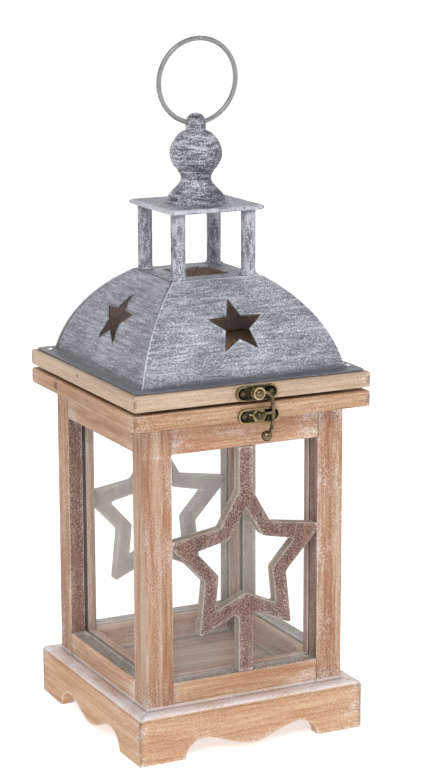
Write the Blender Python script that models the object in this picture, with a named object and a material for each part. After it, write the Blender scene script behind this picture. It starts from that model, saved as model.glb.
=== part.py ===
"""Wooden table lantern with a hinged sheet metal roof.

Units are metres and +Z is up.  The lantern stands at Z = 0 on the feet of its
scalloped skirt.  The front, with the latch and the fretwork star, faces -Y.
Every position below is measured from the middle of the wooden body; the whole
assembly then hangs from one empty that centres its outer box on the origin.

The lid, with the roof on it, turns about the two rear hinges.  The latch hook
turns about its rivet, and the ring handle about the hole in the finial.
"""

from math import acos, asin, atan2, cos, pi, radians, sin, sqrt, tan

import bmesh
import bpy
from mathutils import Matrix, Vector

MM = 0.001

# Clearance between pieces that touch
GAP = 0.3 * MM

# Skirt round the foot of the body
SKIRT_THICKNESS = 9.2 * MM
SKIRT_HEIGHT = 31.8 * MM
SKIRT_EDGE_RADIUS = 3.0 * MM
ARCH_HALF_WIDTH = 46.2 * MM
ARCH_CROWN_OFFSET = 33.0 * MM
ARCH_CROWN_HEIGHT = 11.8 * MM
ARCH_PENDANT_HEIGHT = 2.7 * MM

# Body: floor board, posts, rails and windows
BODY_SIDE = 136.0 * MM
FLOOR_TOP = 30.0 * MM
FLOOR_THICKNESS = 8.0 * MM
POST_SIDE = 17.8 * MM
POST_EDGE_RADIUS = 1.0 * MM
BOTTOM_RAIL_HEIGHT = 17.1 * MM
TOP_RAIL_HEIGHT = 18.8 * MM
RAIL_EDGE_RADIUS = 0.8 * MM
WINDOW_HEIGHT = 144.4 * MM
GLASS_INSET = 10.0 * MM
GLASS_THICKNESS = 2.0 * MM
GROOVE_DEPTH = 4.0 * MM

# Fretwork star in the front and back windows
STAR_THICKNESS = 7.0 * MM
STAR_TIP_RADIUS = 54.0 * MM
STAR_NOTCH_RADIUS = 29.5 * MM
STAR_BAND = 9.0 * MM
STAR_CENTRE_ABOVE_RAIL = 70.4 * MM
STAR_STEM_WIDTH = 9.2 * MM
STAR_SIDE_LAND = 4.6 * MM
STAR_NOTCH_FILLET = 3.0 * MM
STAR_TIP_FILLET = 1.2 * MM

# Slabs: the frame on top of the body and the lid over it
SLAB_SIDE = 160.0 * MM
SLAB_THICKNESS = 10.0 * MM
SLAB_EDGE_RADIUS = 1.0 * MM

# Butt hinges in the gap between the two slabs
LEAF_THICKNESS = 0.6 * MM
HINGE_WIDTH = 18.0 * MM
HINGE_OFFSET = 45.0 * MM
HINGE_INSET = 1.2 * MM
LEAF_REACH = 13.0 * MM
KNUCKLE_RADIUS = 1.5 * MM
MIDDLE_KNUCKLE_LENGTH = 5.8 * MM
HINGE_PIN_RADIUS = 0.6 * MM
HINGE_SCREW_SPACING = 10.0 * MM
HINGE_SCREW_SETBACK = 7.5 * MM
HINGE_SCREW_HEAD_RADIUS = 1.6 * MM
HINGE_SCREW_RADIUS = 0.8 * MM
HINGE_SCREW_LENGTH = 7.0 * MM

# Sheet metal roof: four bent panels with a flat flange, and the deck on top
SHEET = 1.0 * MM
FLANGE_SIDE = 155.6 * MM
FLANGE_CORNER_RADIUS = 4.0 * MM
FLANGE_LEDGE = 9.7 * MM
FLANGE_FILLET = 3.5 * MM
DOME_RISE = 55.4 * MM
DOME_RADIUS = 86.0 * MM
DECK_SIDE = 59.4 * MM
DECK_OPENING = 32.0 * MM
SEAM_LAP = 0.9 * MM
CORNER_STEP = 0.1 * MM
ROOF_STAR_TIP_RADIUS = 20.3 * MM
ROOF_STAR_NOTCH_RADIUS = 8.6 * MM
ROOF_STAR_HEIGHT = 33.0 * MM
NAIL_SETBACK = 12.8 * MM
NAIL_HEAD_RADIUS = 1.7 * MM
NAIL_RADIUS = 0.6 * MM
NAIL_LENGTH = 9.0 * MM

# Chimney: columns, canopy plate with a rolled hem, and the turned finial
COLUMN_RADIUS = 4.6 * MM
COLUMN_OFFSET = 24.1 * MM
COLUMN_FLARE = 1.1 * MM
COLUMN_FLARE_HEIGHT = 3.0 * MM
CANOPY_SIDE = 64.0 * MM
CANOPY_RISE = 43.7 * MM
CANOPY_SHEET = 1.2 * MM
HEM_RADIUS = 1.5 * MM
HEM_CORNER_GAP = 1.6 * MM
HEM_PROUD = 0.2 * MM
FINIAL_FOOT_RADIUS = 18.4 * MM
FINIAL_FOOT_EDGE = 1.2 * MM
FINIAL_NECK_RADIUS = 9.4 * MM
FINIAL_NECK_HEIGHT = 14.9 * MM
FINIAL_BEAD_RADIUS = 11.4 * MM
FINIAL_BEAD_HEIGHT = 19.3 * MM
FINIAL_BEAD_PROUD = 0.6 * MM
FINIAL_BULB_RADIUS = 16.4 * MM
FINIAL_BULB_HEIGHT = 30.2 * MM
FINIAL_SHOULDER_RADIUS = 7.6 * MM
FINIAL_SHOULDER_HEIGHT = 44.0 * MM
LOOP_RADIUS = 6.3 * MM
LOOP_HEIGHT = 49.0 * MM
LOOP_HOLE_RADIUS = 2.7 * MM
SPIGOT_RADIUS = 2.5 * MM
SPIGOT_HEAD_RADIUS = 3.6 * MM
SPIGOT_HEAD_HEIGHT = 1.4 * MM

# Ring handle
RING_RADIUS = 26.2 * MM
RING_WIRE_RADIUS = 1.5 * MM
RING_JOINT_GAP = 0.4 * MM
RING_LEAN = radians(5.6)

# Swing hook latch
PLATE_LENGTH = 28.0 * MM
PLATE_HEIGHT = 9.4 * MM
PLATE_THICKNESS = 2.0 * MM
PLATE_RIM = 1.0 * MM
PLATE_RECESS = 1.2 * MM
PLATE_BOSS_RADIUS = 4.4 * MM
PLATE_SCREW_OFFSET = 9.7 * MM
PLATE_SCREW_HEAD_RADIUS = 2.3 * MM
PLATE_SCREW_RADIUS = 1.1 * MM
PLATE_SCREW_LENGTH = 8.0 * MM
SCREW_SLOT_WIDTH = 0.5 * MM
LATCH_X = 0.5 * MM
KEEPER_X = 1.9 * MM
KEEPER_DROP = 14.2 * MM
KEEPER_RIB_RADIUS = 0.6 * MM
RIVET_RADIUS = 1.5 * MM
RIVET_DOME_RADIUS = 3.0 * MM
RIVET_DOME_HEIGHT = 2.3 * MM
RIVET_DEPTH = 6.0 * MM
HOOK_EYE_RADIUS = 3.9 * MM
HOOK_EYE_THICKNESS = 2.5 * MM
HOOK_ARM_RADIUS = 1.2 * MM
HOOK_BALL_RADIUS = 3.4 * MM
HOOK_BALL_LIFT = 4.2 * MM
HOOK_REACH = 9.9 * MM
HOOK_BALL_ACROSS = 3.3 * MM
HOOK_BALL_DROP = 25.8 * MM
CLAW_RADIUS = 1.0 * MM
CLAW_RISE = 1.3 * MM
PEG_NECK_RADIUS = 1.5 * MM
PEG_HEAD_RADIUS = 2.5 * MM
PEG_HEAD_THICKNESS = 1.8 * MM
PEG_NECK_LENGTH = 1.1 * MM

# Heights and half widths that follow from the sizes above
BODY_HALF = BODY_SIDE / 2
SKIRT_HALF = BODY_HALF + GAP + SKIRT_THICKNESS
OPENING_HALF = BODY_HALF - POST_SIDE
BODY_FOOT = FLOOR_TOP + GAP
WINDOW_FOOT = BODY_FOOT + BOTTOM_RAIL_HEIGHT
WINDOW_HEAD = WINDOW_FOOT + WINDOW_HEIGHT
BODY_HEAD = WINDOW_HEAD + TOP_RAIL_HEIGHT
GROOVE_WIDTH = GLASS_THICKNESS + 2 * GAP
SLAB_HALF = SLAB_SIDE / 2
FRAME_FOOT = BODY_HEAD + GAP
FRAME_TOP = FRAME_FOOT + SLAB_THICKNESS
LID_GAP = 2 * LEAF_THICKNESS + 3 * GAP
LID_FOOT = FRAME_TOP + LID_GAP
LID_TOP = LID_FOOT + SLAB_THICKNESS
FLANGE_HALF = FLANGE_SIDE / 2
DOME_SIDE = FLANGE_SIDE - 2 * FLANGE_LEDGE
FLANGE_TOP = LID_TOP + GAP + SHEET
DECK_HALF = DECK_SIDE / 2
DECK_TOP = FLANGE_TOP + DOME_RISE
CANOPY_HALF = CANOPY_SIDE / 2
CANOPY_TOP = DECK_TOP + CANOPY_RISE
FINIAL_FOOT = CANOPY_TOP + GAP
NAIL_OFFSET_OUT = FLANGE_HALF - FLANGE_LEDGE / 2
NAIL_OFFSET_ALONG = FLANGE_HALF - NAIL_SETBACK

HINGE_AXIS = Vector((0, SLAB_HALF - HINGE_INSET, (FRAME_TOP + LID_FOOT) / 2))
LATCH_PIVOT = Vector((LATCH_X, -SLAB_HALF, (LID_FOOT + LID_TOP) / 2))
KEEPER_CENTRE = Vector((KEEPER_X, -SLAB_HALF, LATCH_PIVOT.z - KEEPER_DROP))
RING_AXIS = Vector((0, 0, FINIAL_FOOT + LOOP_HEIGHT))

# Heights above the slab's face of the stacked latch parts
PLATE_FACE = GAP + PLATE_THICKNESS
SCREW_SEAT = PLATE_FACE - PLATE_RECESS + GAP
EYE_FOOT = PLATE_FACE + GAP
EYE_TOP = EYE_FOOT + HOOK_EYE_THICKNESS
ARM_LEVEL = (EYE_FOOT + EYE_TOP) / 2
BALL_LEVEL = ARM_LEVEL + HOOK_BALL_LIFT
PEG_HEAD_FOOT = PLATE_FACE + PEG_NECK_LENGTH

# The outer box runs from the latch's ball to the back of the slabs
FRONT_REACH = SLAB_HALF + BALL_LEVEL + HOOK_BALL_RADIUS
REAR_REACH = max(SLAB_HALF, HINGE_AXIS.y + KNUCKLE_RADIUS)
ORIGIN_SHIFT = (FRONT_REACH - REAR_REACH) / 2

# Facets of round pieces
SIDES_FINE = 32
SIDES_ROD = 20
SIDES_SMALL = 12

SIDE_NAMES = ("front", "right", "back", "left")
FACE_UP = (pi / 2, 0, 0)


def clear_scene():
    """Remove every object, so that the script builds in an empty scene."""
    for item in list(bpy.data.objects):
        bpy.data.objects.remove(item, do_unlink=True)


def make_material(name, colour, roughness, metallic=0.0, alpha=1.0):
    """A Principled material; colour is a linear RGB triple."""
    material = bpy.data.materials.new(name)
    material.use_nodes = True
    shader = material.node_tree.nodes["Principled BSDF"]
    shader.inputs["Base Color"].default_value = (*colour, 1)
    shader.inputs["Roughness"].default_value = roughness
    shader.inputs["Metallic"].default_value = metallic
    shader.inputs["Alpha"].default_value = alpha
    material.diffuse_color = (*colour, alpha)
    return material


# Shape helpers: each returns a bmesh


def prism(outline, height):
    """A closed outline in the XY plane, extruded from z = 0 to height."""
    shape = bmesh.new()
    face = shape.faces.new([shape.verts.new((x, y, 0)) for x, y in outline])
    grown = bmesh.ops.extrude_face_region(shape, geom=[face])["geom"]
    top = [item for item in grown if isinstance(item, bmesh.types.BMVert)]
    bmesh.ops.translate(shape, verts=top, vec=(0, 0, height))
    bmesh.ops.recalc_face_normals(shape, faces=shape.faces)
    return shape


def box(low, high):
    """A box between two corners."""
    (x0, y0, z0), (x1, y1, z1) = low, high
    shape = prism([(x0, y0), (x1, y0), (x1, y1), (x0, y1)], z1 - z0)
    bmesh.ops.translate(shape, verts=shape.verts, vec=(0, 0, z0))
    return shape


def turned(profile, sides):
    """A profile of (radius, height) points, spun round the Z axis."""
    shape = bmesh.new()
    points = [shape.verts.new((radius, 0, height)) for radius, height in profile]
    lines = [shape.edges.new(pair) for pair in zip(points, points[1:])]
    bmesh.ops.spin(
        shape, geom=points + lines, axis=(0, 0, 1), cent=(0, 0, 0), angle=2 * pi, steps=sides
    )
    bmesh.ops.remove_doubles(shape, verts=shape.verts, dist=1e-7)
    bmesh.ops.recalc_face_normals(shape, faces=shape.faces)
    return shape


def rod(start, end, radius, sides=SIDES_SMALL):
    """A plain cylinder between two points."""
    start, end = Vector(start), Vector(end)
    along = end - start
    turn = along.to_track_quat("Z", "Y").to_matrix().to_4x4()
    shape = bmesh.new()
    bmesh.ops.create_cone(
        shape,
        cap_ends=True,
        segments=sides,
        radius1=radius,
        radius2=radius,
        depth=along.length,
        matrix=Matrix.Translation((start + end) / 2) @ turn,
    )
    return shape


def ball(centre, radius, columns, rows):
    """A sphere of the given facets."""
    shape = bmesh.new()
    bmesh.ops.create_uvsphere(
        shape, u_segments=columns, v_segments=rows, radius=radius, matrix=Matrix.Translation(centre)
    )
    return shape


def bent_wire(points, radius, sides_level=2, steps=5):
    """A round wire with closed ends along a smooth curve through the points."""
    path = bpy.data.curves.new("wire", "CURVE")
    path.dimensions = "3D"
    path.bevel_depth = radius
    path.bevel_resolution = sides_level
    path.use_fill_caps = True
    path.resolution_u = steps
    spline = path.splines.new("BEZIER")
    spline.bezier_points.add(len(points) - 1)
    for knot, point in zip(spline.bezier_points, points):
        knot.co = point
        knot.handle_left_type = "AUTO"
        knot.handle_right_type = "AUTO"
    holder = bpy.data.objects.new("wire", path)
    bpy.context.scene.collection.objects.link(holder)
    shape = evaluated(holder)
    bpy.data.objects.remove(holder)
    bmesh.ops.remove_doubles(shape, verts=shape.verts, dist=1e-7)
    bmesh.ops.recalc_face_normals(shape, faces=shape.faces)
    return shape


def arc(centre, radius, start, end, steps):
    """Points on an arc; angles in radians, both ends included."""
    turns = [start + (end - start) * step / steps for step in range(steps + 1)]
    return [(centre[0] + radius * cos(t), centre[1] + radius * sin(t)) for t in turns]


def filleted(corners, radii, steps=3):
    """The outline through the corners, each rounded by its own radius."""
    outline = []
    count = len(corners)
    for index, (corner, radius) in enumerate(zip(corners, radii)):
        if radius <= 0:
            outline.append(corner)
            continue
        here = Vector(corner)
        before = (Vector(corners[index - 1]) - here).normalized()
        after = (Vector(corners[(index + 1) % count]) - here).normalized()
        half = before.angle(after) / 2
        middle = here + (before + after).normalized() * (radius / sin(half))
        first = here + before * (radius / tan(half)) - middle
        last = here + after * (radius / tan(half)) - middle
        swing = first.angle_signed(last)
        for step in range(steps + 1):
            spoke = first.copy()
            spoke.rotate(Matrix.Rotation(-swing * step / steps, 2))
            outline.append(tuple(middle + spoke))
    return outline


def stadium(length, height, steps=8):
    """A slot shaped outline, long side along X."""
    radius = height / 2
    reach = length / 2 - radius
    right = arc((reach, 0), radius, -pi / 2, pi / 2, steps)
    left = arc((-reach, 0), radius, pi / 2, 3 * pi / 2, steps)
    return right + left


def mitred_bar(section, outer_half):
    """A bar along X at the front, its ends mitred at 45 degrees.

    The section is a list of (depth behind the outer face, height).
    """
    shape = bmesh.new()
    ends = []
    for side in (-1, 1):
        loop = []
        for depth, height in section:
            reach = outer_half - depth - GAP / sqrt(2)
            loop.append(shape.verts.new((side * reach, depth - outer_half, height)))
        ends.append(loop)
    left, right = ends
    count = len(section)
    for index in range(count):
        following = (index + 1) % count
        shape.faces.new((left[index], left[following], right[following], right[index]))
    shape.faces.new(left)
    shape.faces.new(right)
    bmesh.ops.recalc_face_normals(shape, faces=shape.faces)
    return shape


def merged(*shapes):
    """Several separate bodies in one bmesh."""
    whole = shapes[0]
    for extra in shapes[1:]:
        data = bpy.data.meshes.new("extra")
        extra.to_mesh(data)
        extra.free()
        whole.from_mesh(data)
        bpy.data.meshes.remove(data)
    return whole


def moved(shape, offset=(0, 0, 0), turn=None):
    """The shape, turned by a matrix and then shifted."""
    if turn is not None:
        bmesh.ops.transform(shape, matrix=turn, verts=shape.verts)
    bmesh.ops.translate(shape, verts=shape.verts, vec=offset)
    return shape


def evaluated(holder):
    """The holder's mesh with its modifiers applied, as a bmesh."""
    graph = bpy.context.evaluated_depsgraph_get()
    data = bpy.data.meshes.new_from_object(holder.evaluated_get(graph))
    shape = bmesh.new()
    shape.from_mesh(data)
    bpy.data.meshes.remove(data)
    return shape


def combined(shape, tool, operation):
    """Boolean of two shapes: UNION, DIFFERENCE or INTERSECT."""
    holders = []
    for item in (shape, tool):
        data = bpy.data.meshes.new("boolean")
        item.to_mesh(data)
        item.free()
        holder = bpy.data.objects.new("boolean", data)
        bpy.context.scene.collection.objects.link(holder)
        holders.append(holder)
    modifier = holders[0].modifiers.new("Boolean", "BOOLEAN")
    modifier.operation = operation
    modifier.object = holders[1]
    result = evaluated(holders[0])
    for holder in holders:
        data = holder.data
        bpy.data.objects.remove(holder)
        bpy.data.meshes.remove(data)
    return result


def cut(shape, *tools):
    """The shape less the tools."""
    for tool in tools:
        shape = combined(shape, tool, "DIFFERENCE")
    return shape


def joined(shape, *tools):
    """The shape fused with the tools into one body."""
    for tool in tools:
        shape = combined(shape, tool, "UNION")
    return shape


def finished(shape, name, smooth=None):
    """A mesh from the shape; smooth is the edge angle below which it is shaded round."""
    data = bpy.data.meshes.new(name)
    shape.to_mesh(data)
    shape.free()
    if smooth is not None:
        data.shade_smooth()
        data.set_sharp_from_angle(angle=radians(smooth))
    return data


# Placing pieces


def make_pivot(name, parent, position):
    """An empty on a joint's axis; position is measured from the body's middle."""
    pivot = bpy.data.objects.new(name, None)
    pivot.empty_display_size = 10 * MM
    bpy.context.scene.collection.objects.link(pivot)
    pivot["position"] = tuple(position)
    if parent is None:
        pivot.location = (0, ORIGIN_SHIFT, 0)
    else:
        pivot.parent = parent
        pivot.location = Vector(position) - Vector(parent["position"])
    return pivot


def place(name, data, material, pivot, position=(0, 0, 0), rotation=(0, 0, 0)):
    """Hang a piece on its pivot; position is measured from the body's middle."""
    piece = bpy.data.objects.new(name, data)
    bpy.context.scene.collection.objects.link(piece)
    piece.parent = pivot
    piece.location = Vector(position) - Vector(pivot["position"])
    piece.rotation_euler = rotation
    piece.data.materials.clear()
    piece.data.materials.append(material)
    return piece


def place_round(prefix, meshes, material, pivot, height=0.0):
    """One copy on each of the four sides, turned about the middle; meshes are by side."""
    for index, side in enumerate(SIDE_NAMES):
        place(
            f"{prefix}_{side}",
            meshes[side],
            material,
            pivot,
            (0, 0, height),
            (0, 0, index * pi / 2),
        )


def same_all_round(data):
    """The same mesh for all four sides."""
    return {side: data for side in SIDE_NAMES}


# Wooden body


def arch_outline():
    """Two lobes with a drop between them, as the cutter under a skirt board.

    A cosine ogee runs from the drop to each crown, a quarter ellipse from the crown to the foot.
    """
    steps = 8
    right = []
    for step in range(steps):
        share = step / steps
        rise = (1 - cos(pi * share)) / 2
        height = ARCH_PENDANT_HEIGHT + (ARCH_CROWN_HEIGHT - ARCH_PENDANT_HEIGHT) * rise
        right.append((ARCH_CROWN_OFFSET * share, height))
    for step in range(steps + 1):
        angle = pi / 2 * step / steps
        across = ARCH_CROWN_OFFSET + (ARCH_HALF_WIDTH - ARCH_CROWN_OFFSET) * sin(angle)
        right.append((across, ARCH_CROWN_HEIGHT * cos(angle)))
    left = [(-x, z) for x, z in reversed(right[1:])]
    below = -ARCH_CROWN_HEIGHT
    return left + right + [(ARCH_HALF_WIDTH, below), (-ARCH_HALF_WIDTH, below)]


def skirt_board():
    """One mitred skirt board with a rounded top arris and a scalloped foot."""
    radius = SKIRT_EDGE_RADIUS
    section = [(0, 0), (SKIRT_THICKNESS, 0), (SKIRT_THICKNESS, SKIRT_HEIGHT)]
    section += arc((radius, SKIRT_HEIGHT - radius), radius, pi / 2, pi, 4)
    board = mitred_bar(section, SKIRT_HALF)
    scallop = prism(arch_outline(), 2 * SKIRT_THICKNESS)
    scallop = moved(scallop, turn=Matrix.Rotation(pi / 2, 4, "X"))
    scallop = moved(scallop, offset=(0, SKIRT_THICKNESS * 1.5 - SKIRT_HALF, 0))
    return cut(board, scallop)


def post():
    """A corner post, its outer corner towards +X +Y, with a glass groove in each inner face."""
    half = POST_SIDE / 2
    near = half - GLASS_INSET + GAP
    far = near - GROOVE_WIDTH
    bottom = GROOVE_DEPTH - half
    corners = [
        (half, half),
        (-half, half),
        (-half, near),
        (bottom, near),
        (bottom, far),
        (-half, far),
        (-half, -half),
        (far, -half),
        (far, bottom),
        (near, bottom),
        (near, -half),
        (half, -half),
    ]
    radii = [0.0] * len(corners)
    radii[0] = POST_EDGE_RADIUS
    return prism(filleted(corners, radii), BODY_HEAD - BODY_FOOT)


def rail(height, groove_up):
    """A window rail along X at the front, grooved for the glass in its upper or lower edge."""
    near = GLASS_INSET - GAP
    far = near + GROOVE_WIDTH
    edge = height if groove_up else 0.0
    bottom = edge + (-GROOVE_DEPTH if groove_up else GROOVE_DEPTH)
    corners = [
        (0, height - edge),
        (0, edge),
        (near, edge),
        (near, bottom),
        (far, bottom),
        (far, edge),
        (POST_SIDE, edge),
        (POST_SIDE, height - edge),
    ]
    radii = [0.0, RAIL_EDGE_RADIUS] + [0.0] * 6
    length = 2 * (OPENING_HALF - GAP)
    bar = prism(filleted(corners, radii), length)
    stand = Matrix(((0, 0, 1, 0), (1, 0, 0, 0), (0, 1, 0, 0), (0, 0, 0, 1)))
    return moved(bar, (-length / 2, -BODY_HALF, 0), stand)


def glass_pane():
    """A pane whose edges stand in the grooves of the posts and rails."""
    half = OPENING_HALF + GROOVE_DEPTH - GAP
    rise = GROOVE_DEPTH - GAP
    front = GLASS_INSET - BODY_HALF
    return box(
        (-half, front, WINDOW_FOOT - rise),
        (half, front + GLASS_THICKNESS, WINDOW_HEAD + rise),
    )


def on_line(first, last, across):
    """The point at x = across on the line through two points."""
    share = (across - first[0]) / (last[0] - first[0])
    return (across, first[1] + share * (last[1] - first[1]))


def star_points(tip_radius, notch_radius):
    """Ten corners of an upright five pointed star, clockwise from its top tip."""
    corners = []
    for index in range(10):
        radius = notch_radius if index % 2 else tip_radius
        angle = pi / 2 - index * pi / 5
        corners.append((radius * cos(angle), radius * sin(angle)))
    return corners


def inset_star(tip_radius, notch_radius, band):
    """The star inside, its edges parallel at the width of the band."""
    tip, notch = star_points(tip_radius, notch_radius)[:2]
    edge = Vector(notch) - Vector(tip)
    outward = Vector((-edge.y, edge.x)).normalized()
    if outward.dot(Vector(tip)) < 0:
        outward = -outward
    distance = outward.dot(Vector(tip)) - band
    inner_tip = distance / outward.dot(Vector(tip).normalized())
    inner_notch = distance / outward.dot(Vector(notch).normalized())
    return star_points(inner_tip, inner_notch)


def window_star():
    """The fretwork star with its stems, standing in the front window."""
    corners = star_points(STAR_TIP_RADIUS, STAR_NOTCH_RADIUS)
    top, high, side, low, leg, bottom = corners[:6]
    half_stem = STAR_STEM_WIDTH / 2
    half_opening = OPENING_HALF - GAP
    head = WINDOW_HEIGHT - STAR_CENTRE_ABOVE_RAIL - GAP
    foot = GAP - STAR_CENTRE_ABOVE_RAIL
    right = [
        (half_stem, head),
        on_line(top, high, half_stem),
        high,
        (half_opening, side[1] + STAR_SIDE_LAND / 2),
        (half_opening, side[1] - STAR_SIDE_LAND / 2),
        low,
        leg,
        on_line(leg, bottom, half_stem),
        (half_stem, foot),
    ]
    notch, tip = STAR_NOTCH_FILLET, STAR_TIP_FILLET
    rounding = [0, notch, notch, 0, 0, notch, tip, notch, 0]
    left = [(-x, z) for x, z in reversed(right)]
    outline = filleted(right + left, rounding + rounding[::-1])
    body = prism(outline, STAR_THICKNESS)
    inner = filleted(inset_star(STAR_TIP_RADIUS, STAR_NOTCH_RADIUS, STAR_BAND), [tip, notch] * 5)
    hole = moved(prism(inner, 3 * STAR_THICKNESS), (0, 0, -STAR_THICKNESS))
    body = cut(body, hole)
    body = moved(body, turn=Matrix.Rotation(pi / 2, 4, "X"))
    height = WINDOW_FOOT + STAR_CENTRE_ABOVE_RAIL
    return moved(body, (0, STAR_THICKNESS - BODY_HALF, height))


# Slabs


def slab_board():
    """One mitred board of the top frame or of the lid, with rounded outer arrises."""
    radius = SLAB_EDGE_RADIUS
    width = SLAB_HALF - OPENING_HALF
    section = arc((radius, radius), radius, pi, 3 * pi / 2, 4)
    section += [(width, 0), (width, SLAB_THICKNESS)]
    section += arc((radius, SLAB_THICKNESS - radius), radius, pi / 2, pi, 4)
    return mitred_bar(section, SLAB_HALF)


def face_holes(centre, board_foot, depths):
    """Cutters for holes in a front board; depths lists (offset along X, radius, depth)."""
    holes = []
    for offset, radius, depth in depths:
        x, z = centre.x + offset, centre.z - board_foot
        start = (x, centre.y - GAP, z)
        holes.append(rod(start, (x, centre.y + depth + GAP, z), radius + GAP))
    return merged(*holes)


def plate_screw_holes():
    """The two screws of a latch or keeper plate, as (offset, radius, depth)."""
    depth = PLATE_SCREW_LENGTH - SCREW_SEAT
    return [(side * PLATE_SCREW_OFFSET, PLATE_SCREW_RADIUS, depth) for side in (-1, 1)]


def hinge_seats(board_foot, upwards):
    """Cutters in a rear board, turned to the front: knuckle notches and screw holes.

    The rear board is modelled at the front and then turned half round,
    so the hinge axis lies here at -Y.
    """
    reach = KNUCKLE_RADIUS + GAP
    axis_y, axis_z = -HINGE_AXIS.y, HINGE_AXIS.z - board_foot
    side = 1 if upwards else -1
    screw_y = axis_y + HINGE_SCREW_SETBACK
    depth = side * (HINGE_SCREW_LENGTH + 2 * GAP)
    cutters = []
    for centre in (-HINGE_OFFSET, HINGE_OFFSET):
        half = HINGE_WIDTH / 2 + GAP
        low = (centre - half, -SLAB_HALF - GAP, axis_z - reach)
        high = (centre + half, axis_y + reach, axis_z + reach)
        cutters.append(box(low, high))
        for offset in (-HINGE_SCREW_SPACING / 2, HINGE_SCREW_SPACING / 2):
            x = centre + offset
            ends = ((x, screw_y, axis_z), (x, screw_y, axis_z + depth))
            cutters.append(rod(*ends, HINGE_SCREW_RADIUS + GAP))
    return merged(*cutters)


def nail_hole(board_foot):
    """Cutter for the roof nail of a side board, modelled at the front."""
    top = (-NAIL_OFFSET_ALONG, -NAIL_OFFSET_OUT, FLANGE_TOP + GAP - board_foot)
    bottom = (-NAIL_OFFSET_ALONG, -NAIL_OFFSET_OUT, FLANGE_TOP - NAIL_LENGTH - GAP - board_foot)
    return rod(top, bottom, NAIL_RADIUS + GAP)


def frame_boards():
    """The four boards of the frame on top of the body, by side."""
    plain = finished(slab_board(), "frame_board")
    keeper = face_holes(
        KEEPER_CENTRE, FRAME_FOOT, plate_screw_holes() + [(0, PEG_NECK_RADIUS, RIVET_DEPTH)]
    )
    front = finished(cut(slab_board(), keeper), "frame_board_front")
    back = finished(cut(slab_board(), hinge_seats(FRAME_FOOT, False)), "frame_board_back")
    return {"front": front, "right": plain, "back": back, "left": plain}


def lid_boards():
    """The four boards of the lid, by side."""
    latch = face_holes(
        LATCH_PIVOT, LID_FOOT, plate_screw_holes() + [(0, RIVET_RADIUS, RIVET_DEPTH)]
    )
    front = finished(cut(slab_board(), latch), "lid_board_front")
    back = finished(cut(slab_board(), hinge_seats(LID_FOOT, True)), "lid_board_back")
    side = finished(cut(slab_board(), nail_hole(LID_FOOT)), "lid_board_side")
    return {"front": front, "right": side, "back": back, "left": side}


# Hinges


def hinge_leaf(upper):
    """A leaf with its knuckles, modelled about the hinge axis and reaching towards -Y."""
    side = 1 if upper else -1
    half = HINGE_WIDTH / 2
    inner = MIDDLE_KNUCKLE_LENGTH / 2
    shoulder = -(KNUCKLE_RADIUS + GAP)
    lip = GAP / 6
    if upper:
        spans = [(-inner, inner)]
        tongue = inner - lip
        corners = [(-half, -LEAF_REACH), (half, -LEAF_REACH), (half, shoulder)]
        corners += [(tongue, shoulder), (tongue, 0), (-tongue, 0), (-tongue, shoulder)]
        corners += [(-half, shoulder)]
    else:
        spans = [(-half + lip, -inner - GAP), (inner + GAP, half - lip)]
        tongue = inner + GAP + lip
        corners = [(-half, -LEAF_REACH), (half, -LEAF_REACH), (half, 0)]
        corners += [(tongue, 0), (tongue, shoulder)]
        corners += [(-tongue, shoulder), (-tongue, 0), (-half, 0)]
    foot = GAP / 2 if upper else -GAP / 2 - LEAF_THICKNESS
    leaf = moved(prism(corners, LEAF_THICKNESS), (0, 0, foot))
    for start, end in spans:
        barrel = rod((start, 0, 0), (end, 0, 0), KNUCKLE_RADIUS, SIDES_ROD)
        leaf = joined(leaf, barrel)
    bore = rod((-HINGE_WIDTH, 0, 0), (HINGE_WIDTH, 0, 0), HINGE_PIN_RADIUS + GAP)
    sinks = []
    for offset in (-HINGE_SCREW_SPACING / 2, HINGE_SCREW_SPACING / 2):
        sink = countersink()
        if upper:
            sink = moved(sink, turn=Matrix.Rotation(pi, 4, "X"))
        sinks.append(moved(sink, (offset, -HINGE_SCREW_SETBACK, side * GAP / 2)))
    return cut(leaf, bore, merged(*sinks))


def countersink():
    """Conical cutter for a screw hole in a leaf, its mouth at z = 0 and narrowing downwards."""
    mouth = HINGE_SCREW_HEAD_RADIUS + GAP
    throat = HINGE_SCREW_RADIUS + GAP
    slope = (mouth - throat) / LEAF_THICKNESS
    beyond = GAP / 3
    top = (mouth + slope * beyond, beyond)
    bottom = (throat - slope * beyond, -LEAF_THICKNESS - beyond)
    return turned([(0, top[1]), top, bottom, (0, bottom[1])], SIDES_SMALL)


def hinge_pin():
    """One hinge pin, along the hinge axis."""
    half = HINGE_WIDTH / 2
    return rod((-half, 0, 0), (half, 0, 0), HINGE_PIN_RADIUS)


# Latch: modelled lying flat, +Z away from the wood, origin on the slab's face


def recessed_plate(centre_hole):
    """A slot shaped plate with a raised rim, a round boss and three holes."""
    plate = moved(prism(stadium(PLATE_LENGTH, PLATE_HEIGHT), PLATE_THICKNESS), (0, 0, GAP))
    floor = PLATE_FACE - PLATE_RECESS
    pocket = prism(stadium(PLATE_LENGTH - 2 * PLATE_RIM, PLATE_HEIGHT - 2 * PLATE_RIM), PLATE_THICKNESS)
    pocket = moved(pocket, (0, 0, floor))
    boss = rod((0, 0, 0), (0, 0, 2 * PLATE_THICKNESS + floor), PLATE_BOSS_RADIUS, SIDES_ROD)
    pocket = cut(pocket, boss)
    holes = [rod((0, 0, -GAP), (0, 0, PLATE_FACE + GAP), centre_hole + GAP, SIDES_ROD)]
    for side in (-1, 1):
        x = side * PLATE_SCREW_OFFSET
        radius = PLATE_SCREW_RADIUS + GAP
        holes.append(rod((x, 0, -GAP), (x, 0, PLATE_FACE + GAP), radius))
    return cut(plate, pocket, merged(*holes))


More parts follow.
